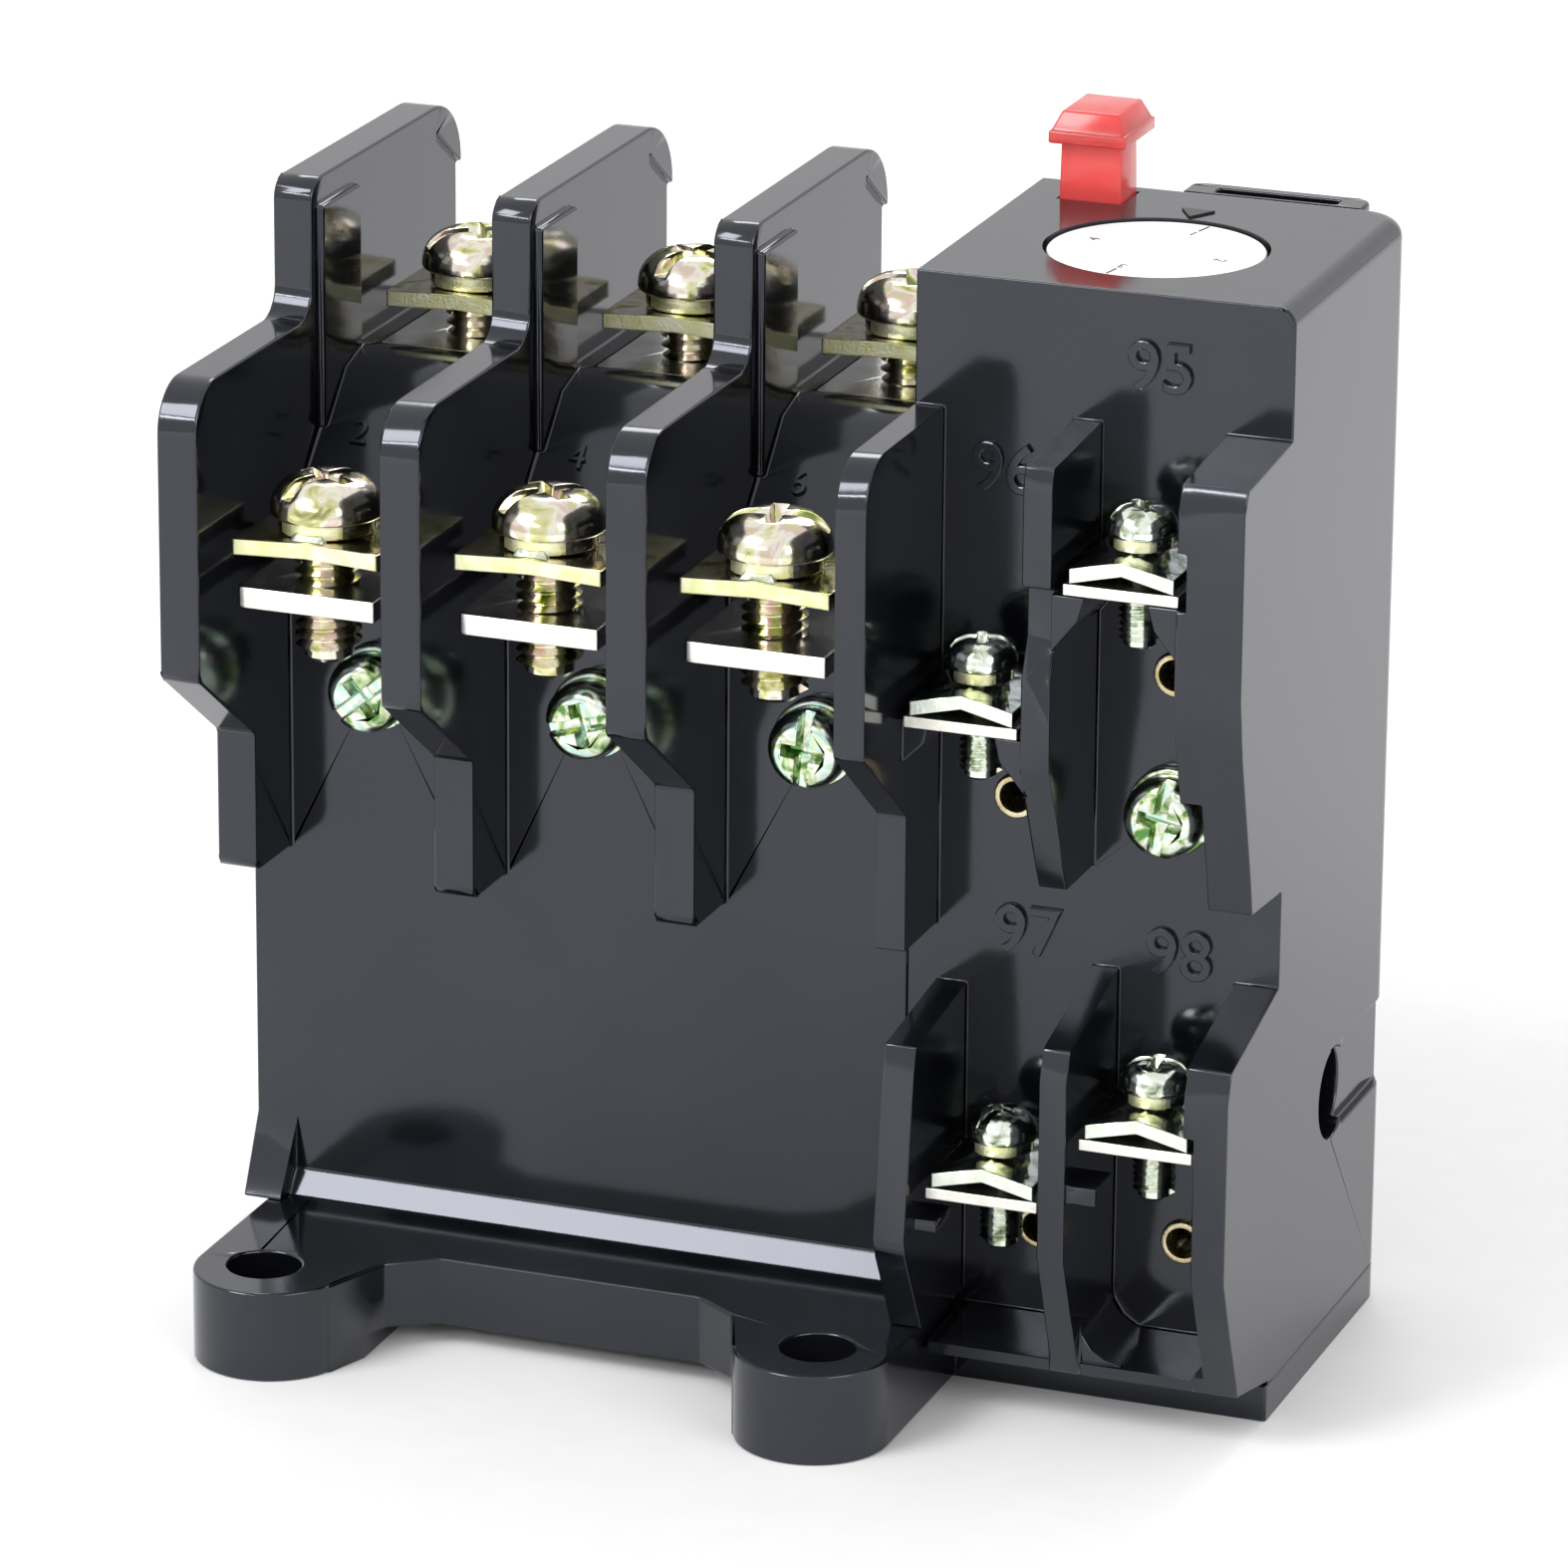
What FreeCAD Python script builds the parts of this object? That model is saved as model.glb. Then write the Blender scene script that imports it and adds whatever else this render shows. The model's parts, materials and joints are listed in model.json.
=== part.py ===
import FreeCAD, Part
import Sketcher
import math
import os
from FreeCAD import Vector

# Thermal overload relay, three poles, with a contact block on its right.
# The drafting frame has x = 0 on the left barrier's face, y = 0 on the front
# edges of the barriers and z = 0 under the mounting lugs. Each sub-part's
# Placement carries it from there to the part's own frame, whose origin is the
# middle of the whole base.

SIZES = [
    ("pole_pitch", 15.2, "distance between poles"),
    ("barrier", 2.74, "thickness of the moulded barriers between poles"),
    ("block_width", 24.8, "width of the contact block"),
    ("panel_y", 14.25, "front panel behind the barriers' front edges"),
    ("panel_wall", 2.75, "thickness of the front panel"),
    ("case_back", 39.4, "back face of the case"),
    ("back_wall", 2.5, "thickness of the case's back wall"),
    ("barrier_back", 43.7, "back edge of the barriers"),
    ("barrier_top", 74.0, "top of the rear barriers"),
    ("front_top", 65.0, "top of the front barriers"),
    ("rear_front", 18.5, "front edge of the rear barriers"),
    ("leg_y", 8.5, "front edge of the barriers' legs"),
    ("leg_top", 39.7, "where the legs begin"),
    ("leg_bottom", 30.2, "underside of the legs"),
    ("nose_bottom", 45.7, "underside of the front barriers' noses"),
    ("slope_foot", 52.0, "where the panel turns into the slope"),
    ("strip_rise", 1.5, "height of the sloped strip along the panel's foot"),
    ("strip_reach", 1.2, "reach of that strip before the panel"),
    ("rib_top", 11.3, "top of the rib at the panel's left foot"),
    ("rib_reach", 2.5, "reach of that rib before the panel"),
    ("ledge_top", 61.4, "top of the ledge under the line terminals"),
    ("ledge_front", 25.3, "front edge of the ledge"),
    ("roof_wall", 2.5, "thickness of the slope and the ledge"),
    ("base_top", 6.1, "top of the base plate under the poles"),
    ("foot_rise", 1.55, "height of the base's arch between its feet"),
    ("base_inset", 1.6, "left side of the base plate"),
    ("lug_radius", 5.1, "outside radius of the mounting lugs"),
    ("lug_y", 1.2, "centre line of the mounting holes"),
    ("hole_left", 6.2, "left mounting hole"),
    ("hole_spacing", 38.3, "distance between the mounting holes"),
    ("hole_radius", 2.4, "radius of the mounting holes"),
    ("block_bottom", 2.4, "underside of the contact block"),
    ("block_top", 73.7, "top of the contact block"),
    ("block_wall", 2.0, "side walls of the contact block"),
    ("block_back", 39.3, "back face of the contact block"),
    ("cover_thick", 1.8, "thickness of the rear cover"),
    ("bar_width", 9.6, "width of the main terminal bars"),
    ("bar_thick", 1.4, "thickness of the main terminal bars"),
    ("bar_front", 2.4, "front end of the load bars"),
    ("bar_top", 51.6, "top of the load bars"),
    ("load_y", 6.3, "axis of the load screws"),
    ("line_y", 31.4, "axis of the line screws"),
    ("clamp_lift", 2.0, "opening under the main clamping saddles"),
    ("saddle_thick", 1.1, "thickness of the main saddles"),
    ("saddle_width", 10.0, "width of the main saddles"),
    ("saddle_depth", 7.6, "depth of the main saddles"),
    ("lock_thick", 1.0, "thickness of the main lock washers"),
    ("main_thread", 1.95, "radius of the main screws' thread"),
    ("main_head", 3.7, "radius of the main screws' heads"),
    ("main_head_rise", 2.5, "height of the main screws' heads"),
    ("main_length", 9.6, "length of the main screws under the head"),
    ("fixing_z", 42.0, "axis of the panel screws"),
    ("fixing_thread", 1.7, "radius of the panel screws' thread"),
    ("fixing_head", 2.6, "radius of the panel screws' heads"),
    ("fixing_rise", 2.3, "height of the panel screws' heads"),
    ("front_screw_x", 17.6, "contact block's panel screw, from the block's left side"),
    ("front_screw_z", 40.4, "contact block's panel screw"),
    ("washer_radius", 2.85, "radius of the panel screws' washers"),
    ("washer_thick", 0.8, "thickness of the panel screws' washers"),
    ("plate_width", 7.5, "width of the contact terminals' plates"),
    ("plate_thick", 0.75, "thickness of the contact terminals' plates"),
    ("plate_leg", 2.1, "half the width of those plates' legs"),
    ("plate_front", 5.2, "front edge of the contact terminals' plates"),
    ("aux_y", 9.3, "axis of the contact terminals' screws"),
    ("roof_rise", 0.8, "rise of the contact terminals' folded saddles"),
    ("roof_thick", 0.95, "thickness of the folded saddles"),
    ("roof_width", 6.8, "width of the folded saddles"),
    ("aux_lock", 0.8, "thickness of the small lock washers"),
    ("aux_thread", 1.25, "radius of the small screws' thread"),
    ("aux_head", 2.25, "radius of the small screws' heads"),
    ("aux_rise", 1.9, "height of the small screws' heads"),
    ("aux_length", 7.3, "length of the small screws under the head"),
    ("rivet_bore", 1.0, "bore of the hollow rivets"),
    ("rivet_body", 1.25, "radius of the hollow rivets"),
    ("rivet_lip", 1.5, "radius of the rivets' rolled lips"),
    ("strip_thick", 0.55, "thickness of the inner contact strips"),
    ("nc_z", 47.0, "height of the normally closed contact"),
    ("no_z", 17.0, "height of the normally open contact"),
    ("arm_pivot_x", 61.5, "pivot of the contact arm"),
    ("arm_pivot_z", 32.0, "pivot of the contact arm"),
    ("arm_thick", 2.6, "thickness of the contact arm"),
    ("lever_pivot_x", 54.5, "pivot of the setting lever"),
    ("lever_pivot_z", 50.2, "pivot of the setting lever"),
    ("strip_pivot_x", 53.0, "pivot of the compensating strip"),
    ("strip_pivot_z", 43.0, "pivot of the compensating strip"),
    ("pin_radius", 1.0, "radius of the pivot pins"),
    ("small_pin", 0.8, "radius of the compensating strip's pin"),
    ("run", 0.05, "running clearance on pins and shafts"),
    ("fit", 0.02, "clearance of pieces that are fixed in holes"),
    ("slack", 0.3, "free gap between moving pieces"),
    ("lever_y", 22.0, "front faces of the levers"),
    ("lever_width", 6.0, "width of the levers"),
    ("dial_x", 57.9, "axis of the setting dial"),
    ("dial_y", 24.7, "axis of the setting dial"),
    ("dial_radius", 6.95, "radius of the setting dial"),
    ("dial_thick", 1.1, "thickness of the setting dial"),
    ("dial_sink", 0.15, "how far the dial lies under the top"),
    ("shaft_radius", 2.0, "radius of the cam's shaft"),
    ("cam_low", 3.0, "least radius of the cam"),
    ("cam_lift", 0.7, "rise of the cam over the dial's range"),
    ("cam_bottom", 63.4, "underside of the cam"),
    ("cam_thick", 3.2, "thickness of the cam"),
    ("button_x", 50.4, "axis of the reset button"),
    ("button_y", 35.4, "axis of the reset button"),
    ("stem_width", 4.3, "width of the button's stem"),
    ("stem_depth", 3.4, "depth of the button's stem"),
    ("cap_bottom", 77.5, "underside of the button's cap"),
    ("cap_top", 79.6, "top of the button's cap"),
    ("rod_radius", 1.1, "radius of the reset plunger"),
    ("shelf_top", 62.0, "shelf under the reset spring"),
    ("shelf_thick", 2.0, "thickness of that shelf"),
    ("spring_wire", 0.4, "wire of the reset spring"),
    ("spring_turns", 5.0, "turns of the reset spring"),
    ("bimetal_thick", 0.8, "thickness of the bimetal strips"),
    ("bimetal_width", 5.0, "width of the bimetal strips"),
    ("bimetal_tip", 11.5, "lower end of the bimetal strips"),
    ("bimetal_root", 50.0, "upper end of the bimetal strips"),
    ("bimetal_y", 23.5, "front edges of the bimetal strips"),
    ("slider_rise", 2.5, "height of the trip slider"),
    ("slider_width", 4.0, "width of the trip slider"),
    ("slider_y", 24.0, "front face of the trip slider"),
    ("slider_end", 50.5, "right end of the trip slider"),
    ("boss_radius", 2.2, "radius of the screw bosses"),
    ("boss_rise", 8.5, "height of the screw bosses"),
    ("self_tap", 1.2, "radius of the self-tapping screws"),
]

doc = FreeCAD.newDocument("thermal_overload_relay")
sheet = doc.addObject("Spreadsheet::Sheet", "Sizes")
for row, (alias, value, note) in enumerate(SIZES, 1):
    sheet.set("A%d" % row, note)
    sheet.set("B%d" % row, str(value))
    sheet.setAlias("B%d" % row, alias)
doc.recompute()


class Size:
    # a length that carries its number and the sheet formula it comes from
    def __init__(self, formula, number):
        self.formula = formula
        self.number = number

    def __add__(self, other):
        return Size("(%s + %s)" % (self.formula, formula(other)), self.number + number(other))

    def __sub__(self, other):
        return Size("(%s - %s)" % (self.formula, formula(other)), self.number - number(other))

    def __mul__(self, other):
        return Size("(%s * %s)" % (self.formula, formula(other)), self.number * number(other))

    def __truediv__(self, other):
        return Size("(%s / %s)" % (self.formula, formula(other)), self.number / number(other))

    def __radd__(self, other):
        return plain(other) + self

    def __rsub__(self, other):
        return plain(other) - self

    def __rmul__(self, other):
        return plain(other) * self

    def __neg__(self):
        return plain(0) - self


def plain(value):
    return Size("%.6f" % value, float(value))


def formula(value):
    return value.formula if isinstance(value, Size) else "%.6f" % value


def number(value):
    return value.number if isinstance(value, Size) else float(value)


class Sizes:
    pass


s = Sizes()
for alias, value, note in SIZES:
    setattr(s, alias, Size("Sizes." + alias, float(sheet.get(alias))))

CASE_WIDTH = s.pole_pitch * 3
BLOCK_LEFT = CASE_WIDTH
BLOCK_RIGHT = CASE_WIDTH + s.block_width
ORIGIN_X = BLOCK_RIGHT / 2
ORIGIN_Y = (s.barrier_back + s.lug_y - s.lug_radius) / 2
INNER_FRONT = s.panel_y + s.panel_wall
INNER_BACK = s.case_back - s.back_wall
COVER_FRONT = s.block_back - s.cover_thick
NORMALS = {"X": "YZ_Plane", "Y": "XZ_Plane", "Z": "XY_Plane"}


def bay_centre(pole):
    return s.pole_pitch * pole + s.barrier + (s.pole_pitch - s.barrier) / 2


def bind(thing, prop, value):
    if isinstance(value, Size):
        thing.setExpression(prop, value.formula)
    else:
        setattr(thing, prop, value)


def place(thing, x=0, y=0, z=0):
    bind(thing, "Placement.Base.x", x - ORIGIN_X)
    bind(thing, "Placement.Base.y", y - ORIGIN_Y)
    bind(thing, "Placement.Base.z", plain(0) + z)


def new_body(label, x=0, y=0, z=0):
    body = doc.addObject("PartDesign::Body", label)
    body.Label = label
    place(body, x, y, z)
    return body


def fix(sketch, kind, geometry, point, value):
    if point is None:
        index = sketch.addConstraint(Sketcher.Constraint(kind, geometry, number(value)))
    else:
        index = sketch.addConstraint(Sketcher.Constraint(kind, geometry, point, number(value)))
    if isinstance(value, Size):
        sketch.setExpression("Constraints[%d]" % index, value.formula)


def sketch_at(body, axis, start):
    # a sketch square to the axis, at that distance along it
    role = NORMALS[axis]
    plane = [item for item in body.Origin.OriginFeatures if item.Role == role][0]
    sketch = body.newObject("Sketcher::SketchObject", "sketch")
    sketch.AttachmentSupport = [(plane, "")]
    sketch.MapMode = "FlatFace"
    offset = -(plain(0) + start) if axis == "Y" else plain(0) + start
    bind(sketch, "AttachmentOffset.Base.z", offset)
    return sketch


def draw_outline(sketch, points):
    first = sketch.GeometryCount
    count = len(points)
    corners = [Vector(number(a), number(b), 0) for a, b in points]
    for k in range(count):
        sketch.addGeometry(Part.LineSegment(corners[k], corners[(k + 1) % count]))
    for k, (across, up) in enumerate(points):
        before = first + (k - 1) % count
        sketch.addConstraint(Sketcher.Constraint("Coincident", before, 2, first + k, 1))
        fix(sketch, "DistanceX", first + k, 1, across)
        fix(sketch, "DistanceY", first + k, 1, up)


def draw_circle(sketch, across, up, radius):
    circle = Part.Circle(Vector(number(across), number(up), 0), Vector(0, 0, 1), number(radius))
    index = sketch.addGeometry(circle)
    fix(sketch, "DistanceX", index, 3, across)
    fix(sketch, "DistanceY", index, 3, up)
    fix(sketch, "Radius", index, None, radius)


def extrude(body, kind, axis, start, end, draw):
    # the sketch lies at the start and the feature runs towards the end
    sketch = sketch_at(body, axis, start)
    draw(sketch)
    feature = body.newObject("PartDesign::" + kind, kind.lower())
    feature.Profile = sketch
    bind(feature, "Length", end - start if isinstance(end, Size) else plain(end) - start)
    forwards = (kind == "Pad") == (axis != "Y")
    feature.Reversed = not forwards
    body.Tip = feature
    return feature


def add_prism(body, axis, start, end, points):
    return extrude(body, "Pad", axis, start, end, lambda sketch: draw_outline(sketch, points))


def cut_prism(body, axis, start, end, points):
    return extrude(body, "Pocket", axis, start, end, lambda sketch: draw_outline(sketch, points))


def add_disc(body, axis, start, end, across, up, radius):
    draw = lambda sketch: draw_circle(sketch, across, up, radius)
    return extrude(body, "Pad", axis, start, end, draw)


def cut_disc(body, axis, start, end, across, up, radius):
    draw = lambda sketch: draw_circle(sketch, across, up, radius)
    return extrude(body, "Pocket", axis, start, end, draw)


def rectangle(left, right, low, high):
    return [(left, low), (right, low), (right, high), (left, high)]


def add_box(body, xs, ys, zs):
    return add_prism(body, "Z", zs[0], zs[1], rectangle(xs[0], xs[1], ys[0], ys[1]))


def cut_box(body, xs, ys, zs):
    return cut_prism(body, "Z", zs[0], zs[1], rectangle(xs[0], xs[1], ys[0], ys[1]))


def round_edges(body, axis, places, radius):
    # rounds the straight edges along the axis that pass through these places
    doc.recompute()
    along = "XYZ".index(axis)
    across = [k for k in range(3) if k != along]
    names = []
    for index, edge in enumerate(body.Tip.Shape.Edges, 1):
        if edge.Curve.TypeId != "Part::GeomLine":
            continue
        low, high = edge.Vertexes[0].Point, edge.Vertexes[-1].Point
        if abs(abs(high[along] - low[along]) - edge.Length) > 1e-4:
            continue
        for first, second in places:
            if abs(low[across[0]] - number(first)) < 1e-3 and abs(low[across[1]] - number(second)) < 1e-3:
                names.append("Edge%d" % index)
    base = body.Tip
    feature = body.newObject("PartDesign::Fillet", "fillet")
    feature.Base = (base, names)
    bind(feature, "Radius", radius)
    body.Tip = feature
    return feature


def revolve(body, points):
    # a ring or a turned piece about the body's own Z axis
    sketch = sketch_at(body, "Y", 0)
    draw_outline(sketch, points)
    feature = body.newObject("PartDesign::Revolution", "revolution")
    feature.Profile = sketch
    feature.ReferenceAxis = (sketch, ["V_Axis"])
    feature.Angle = 360
    body.Tip = feature
    return feature


def group(label, bodies):
    # identical loose pieces that share one name
    compound = doc.addObject("Part::Compound", label)
    compound.Label = label
    compound.Links = bodies
    return compound


# ---------------------------------------------------------------- housing


def barrier_outline():
    return [
        (0, s.nose_bottom), (0, s.front_top), (s.rear_front, s.front_top),
        (s.rear_front, s.barrier_top), (s.barrier_back, s.barrier_top),
        (s.barrier_back, s.base_top), (INNER_FRONT, s.base_top),
        (INNER_FRONT, s.leg_bottom), (s.leg_y, s.leg_bottom), (s.leg_y, s.leg_top),
    ]


def main_case():
    body = new_body("main_case")
    knee = (s.ledge_front - 2.8, s.ledge_top - 0.8)
    add_prism(body, "X", 0, CASE_WIDTH, [
        (s.panel_y, s.base_top), (s.panel_y, s.slope_foot), knee,
        (s.ledge_front, s.ledge_top), (s.case_back, s.ledge_top), (s.case_back, s.base_top),
    ])
    for pole in range(3):
        left = s.pole_pitch * pole
        add_prism(body, "X", left, left + s.barrier, barrier_outline())
    roof = s.roof_wall
    for pole in range(3):
        left = s.pole_pitch * pole + s.barrier
        right = s.pole_pitch * (pole + 1) - (1.2 if pole == 2 else 0)
        cut_prism(body, "X", left, right, [
            (INNER_FRONT, s.base_top - 1), (INNER_FRONT, s.slope_foot - 0.2),
            (s.ledge_front - 1.3, s.ledge_top - roof), (INNER_BACK, s.ledge_top - roof),
            (INNER_BACK, s.base_top - 1),
        ])
    round_edges(body, "X", [(0, s.front_top)], 3.3)
    round_edges(body, "X", [(s.rear_front, s.front_top)], 2.0)
    round_edges(body, "X", [(s.rear_front, s.barrier_top)], 1.5)
    round_edges(body, "X", [(s.barrier_back, s.barrier_top)], 4.5)
    round_edges(body, "X", [(s.leg_y, s.leg_bottom), (0, s.nose_bottom)], 0.9)
    for pole in range(3):
        face = s.pole_pitch * pole + s.barrier
        centre = bay_centre(pole)
        half = s.bar_width / 2 + 0.1
        # the barriers get thinner behind the case and carry a post in front
        cut_prism(body, "X", face - 0.4, face, [
            (s.case_back, s.base_top), (s.barrier_back + 1, s.base_top),
            (s.barrier_back + 1, s.barrier_top - 5.5), (s.case_back, s.barrier_top - 1.8),
        ])
        add_prism(body, "X", face, face + 0.5, rectangle(
            s.rear_front + 0.8, s.ledge_front + 0.2, s.ledge_top - 4, s.barrier_top - 1.8))
        # slots for the load bar, the line bar and its inner leg
        cut_box(body, (centre - half, centre + half), (s.panel_y - 1, INNER_FRONT + 4),
                (s.bar_top - s.bar_thick - 0.05, s.bar_top + 0.05))
        cut_box(body, (centre - half, centre + half), (s.ledge_front + 0.9, s.case_back - 1.2),
                (s.ledge_top - s.bar_thick, s.ledge_top + 0.1))
        cut_box(body, (centre - 3.1, centre + 3.1), (INNER_BACK - 1.8, INNER_BACK - 0.2),
                (s.ledge_top - roof - 1, s.ledge_top - s.bar_thick + 0.1))
        cut_disc(body, "Z", s.ledge_top - roof - 1, s.ledge_top - s.bar_thick + 0.1,
                 centre, s.line_y, s.main_thread + 0.35)
        cut_disc(body, "Y", s.panel_y - 1, INNER_FRONT + 0.1, centre, s.fixing_z,
                 s.fixing_thread + 0.15)
    # notches that guide the trip slider through the partitions
    top = s.base_top + 0.2 + s.slider_rise + s.slack
    for left, right in ((s.pole_pitch - 0.1, s.pole_pitch + s.barrier + 0.1),
                        (s.pole_pitch * 2 - 0.1, s.pole_pitch * 2 + s.barrier + 0.1),
                        (CASE_WIDTH - 1.3, CASE_WIDTH + 0.1)):
        cut_box(body, (left, right), (s.slider_y - s.slack, s.slider_y + s.slider_width + s.slack),
                (s.base_top - 1, top))
    # sloped strip along the panel's foot, and the rib at its left end
    add_prism(body, "X", s.base_inset, CASE_WIDTH, [
        (s.panel_y + 0.5, s.base_top), (s.panel_y + 0.5, s.base_top + s.strip_rise),
        (s.panel_y, s.base_top + s.strip_rise), (s.panel_y - s.strip_reach, s.base_top)])
    add_prism(body, "X", 0, s.barrier, [
        (s.panel_y + 0.5, s.base_top), (s.panel_y + 0.5, s.rib_top), (s.panel_y, s.rib_top),
        (s.panel_y - s.rib_reach, s.base_top)])
    for x, y in base_screw_places()[:4]:
        add_disc(body, "Z", s.base_top, s.base_top + s.boss_rise, x, y, s.boss_radius)
    for x, y in base_screw_places()[:4]:
        cut_disc(body, "Z", s.base_top - 1, s.base_top + s.boss_rise - 1, x, y, s.self_tap + s.fit)
    return body


def base_screw_places():
    near = s.boss_radius - 0.25
    left = s.barrier + near
    right = CASE_WIDTH - 1.2 - near
    front = INNER_FRONT + near
    back = INNER_BACK - near
    block = BLOCK_RIGHT - s.block_wall - near
    return [(left, front), (right, front), (left, back), (right, back),
            (block, INNER_FRONT + near + 0.9), (block - 0.2, COVER_FRONT - 4.6)]


def cover_screw_places():
    # x, z and the length along y of the bosses behind the rear cover
    return [(BLOCK_LEFT + s.block_wall + 2.0, 25.0), (BLOCK_RIGHT - 6.0, 60.0), (BLOCK_RIGHT - 6.0, 17.5)]


def terminals():
    # number, centre x, top of the plate, rivet x and rivet z
    left = BLOCK_LEFT
    return {
        95: (left + 16.75, 57.3, left + 17.6, 49.3),
        96: (left + 6.45, 47.5, left + 7.2, 40.0),
        97: (left + 8.3, 16.3, left + 9.2, 11.1),
        98: (left + 18.45, 21.0, left + 18.9, 11.4),
    }


def contact_case():
    body = new_body("contact_case")
    left, right, wall = BLOCK_LEFT, BLOCK_RIGHT, s.block_wall
    add_box(body, (left, right), (s.panel_y, s.block_back), (s.block_bottom, s.block_top))
    round_edges(body, "Z", [(right, s.block_back)], 3.0)
    round_edges(body, "Y", [(right, s.block_top)], 1.2)
    # barrier beside the third pole
    add_prism(body, "X", left, left + wall, [
        (0, s.nose_bottom + 0.3), (0, s.front_top), (s.panel_y + 1, s.front_top),
        (s.panel_y + 1, s.leg_bottom + 0.6), (s.leg_y - 0.5, s.leg_bottom + 0.6),
        (s.leg_y - 0.5, s.leg_top + 0.2),
    ])
    round_edges(body, "X", [(0, s.front_top)], 3.3)
    # walls of the upper contact terminals
    add_prism(body, "X", left + 10.5, left + 12.4, [
        (s.panel_y + 1, 65.2), (5.0, 64.6), (4.7, 63.0), (4.7, 57.0), (5.9, 56.6), (5.9, 53.5),
        (4.9, 51.0), (4.9, 45.0), (8.2, 37.5), (9.0, 36.0), (s.panel_y + 1, 36.0),
    ])
    add_prism(body, "X", left + 20.5, right, [
        (s.panel_y + 1, 65.3), (5.4, 64.5), (4.7, 63.0), (4.7, 51.0), (5.3, 47.4),
        (7.6, 38.9), (8.2, 36.2), (s.panel_y + 1, 35.7),
    ])
    # walls of the lower contact terminals and the rail under them
    lower = [
        (s.panel_y + 1, 29.6), (4.8, 26.9), (4.1, 24.9), (4.1, 13.0), (5.6, 9.1), (7.7, 4.0),
        (s.panel_y + 1, s.block_bottom),
    ]
    add_prism(body, "X", left + 1.9, left + 4.0, [
        (s.panel_y + 1, 27.1), (4.8, 25.8), (4.4, 24.2), (2.8, 13.4), (3.2, 12.0), (6.4, s.base_top),
        (s.panel_y + 1, s.base_top)])
    add_prism(body, "X", left + 12.4, left + 14.2, lower)
    add_prism(body, "X", left + 21.9, right, lower)
    add_prism(body, "X", left + 4.0, right, [
        (s.panel_y + 1, 5.2), (7.4, 4.9), (7.7, 4.0), (s.panel_y + 1, s.block_bottom)])
    contact_case_wall_details(body)
    # room for the mechanism, open at the back for the rear cover
    cut_box(body, (left + wall, right - wall), (INNER_FRONT, COVER_FRONT - 2.5),
            (s.block_bottom + 2.0, s.block_top - 2.5))
    cut_box(body, (left + wall, right - wall - 2.2), (COVER_FRONT - 3.5, COVER_FRONT + 0.5),
            (s.block_bottom + 2.0, s.block_top - 2.5))
    cut_box(body, (left + 1.2, right - 3.4), (COVER_FRONT, s.block_back + 1),
            (s.block_bottom + 1.2, s.block_top - 1.7))
    contact_case_mechanism_seats(body)
    contact_case_holes(body)
    return body


def contact_case_wall_details(body):
    left, panel = BLOCK_LEFT, s.panel_y + 0.5
    # noses under the plates, each a wedge on the side of a wall
    for wall, tip, top, foot, front in (
            (left + 20.6, left + 18.5, 56.5, 52.8, 5.2), (left + 12.3, left + 14.4, 56.5, 52.8, 5.2),
            (left + 10.6, left + 8.6, 46.7, 43.2, 5.4), (left + 1.9, left + 3.8, 46.7, 43.6, 7.0)):
        add_prism(body, "Y", front, panel, [
            (wall, top), (tip, top), (tip * 0.8 + wall * 0.2, top - 1.6), (wall, foot)])
    # small blocks beside the lower plates
    add_box(body, (left + 3.9, left + 5.4), (4.9, 8.0), (13.4, 14.2))
    add_box(body, (left + 14.1, left + 16.1), (4.6, 8.0), (16.8, 18.0))
    # hollow corner between the wall and the floor of the last bay
    corner, floor, bend = left + 14.1, 5.0, 2.9
    add_prism(body, "Y", 7.7, panel, [
        (corner, floor - 0.5), (corner + bend, floor - 0.5), (corner + bend, floor), (corner + bend * 0.62, floor + bend * 0.08),
        (corner + bend * 0.29, floor + bend * 0.29), (corner + bend * 0.08, floor + bend * 0.62), (corner, floor + bend)])
    # the outer walls are thinner beside the plates and the panel screw
    cut_box(body, (left + 20.4, left + 21.1), (3.0, s.panel_y), (56.5, 60.2))
    cut_box(body, (left + 20.4, left + 21.9), (3.0, s.panel_y), (34.0, 43.6))
    cut_box(body, (left + 21.8, left + 22.6), (3.0, s.panel_y), (5.2, 22.4))


def contact_case_mechanism_seats(body):
    left, wall = BLOCK_LEFT, s.block_wall
    # shelf that carries the reset spring
    add_box(body, (left + wall - 0.2, left + 8.2), (s.button_y - 2.9, COVER_FRONT),
            (s.shelf_top - s.shelf_thick, s.shelf_top))
    cut_disc(body, "Z", s.shelf_top - s.shelf_thick - 0.1, s.shelf_top + 0.1,
             s.button_x, s.button_y, s.rod_radius + s.run)
    for x, z in cover_screw_places():
        add_disc(body, "Y", COVER_FRONT - 7.0, COVER_FRONT, x, z, s.boss_radius)
    for x, z in cover_screw_places():
        cut_disc(body, "Y", COVER_FRONT - 6.0, COVER_FRONT + 0.1, x, z, s.self_tap + s.fit)
    floor = s.block_bottom + 2.0
    for x, y in base_screw_places()[4:]:
        add_disc(body, "Z", floor - 0.5, floor + 6.0, x, y, s.boss_radius)
    for x, y in base_screw_places()[4:]:
        cut_disc(body, "Z", s.block_bottom - 1, floor + 5.0, x, y, s.self_tap + s.fit)
    # blind seats of the pivot pins in the panel
    for x, z in ((s.lever_pivot_x, s.lever_pivot_z), (s.arm_pivot_x, s.arm_pivot_z)):
        cut_disc(body, "Y", INNER_FRONT - 1.3, INNER_FRONT + 0.1, x, z, s.pin_radius + s.fit)


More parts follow.
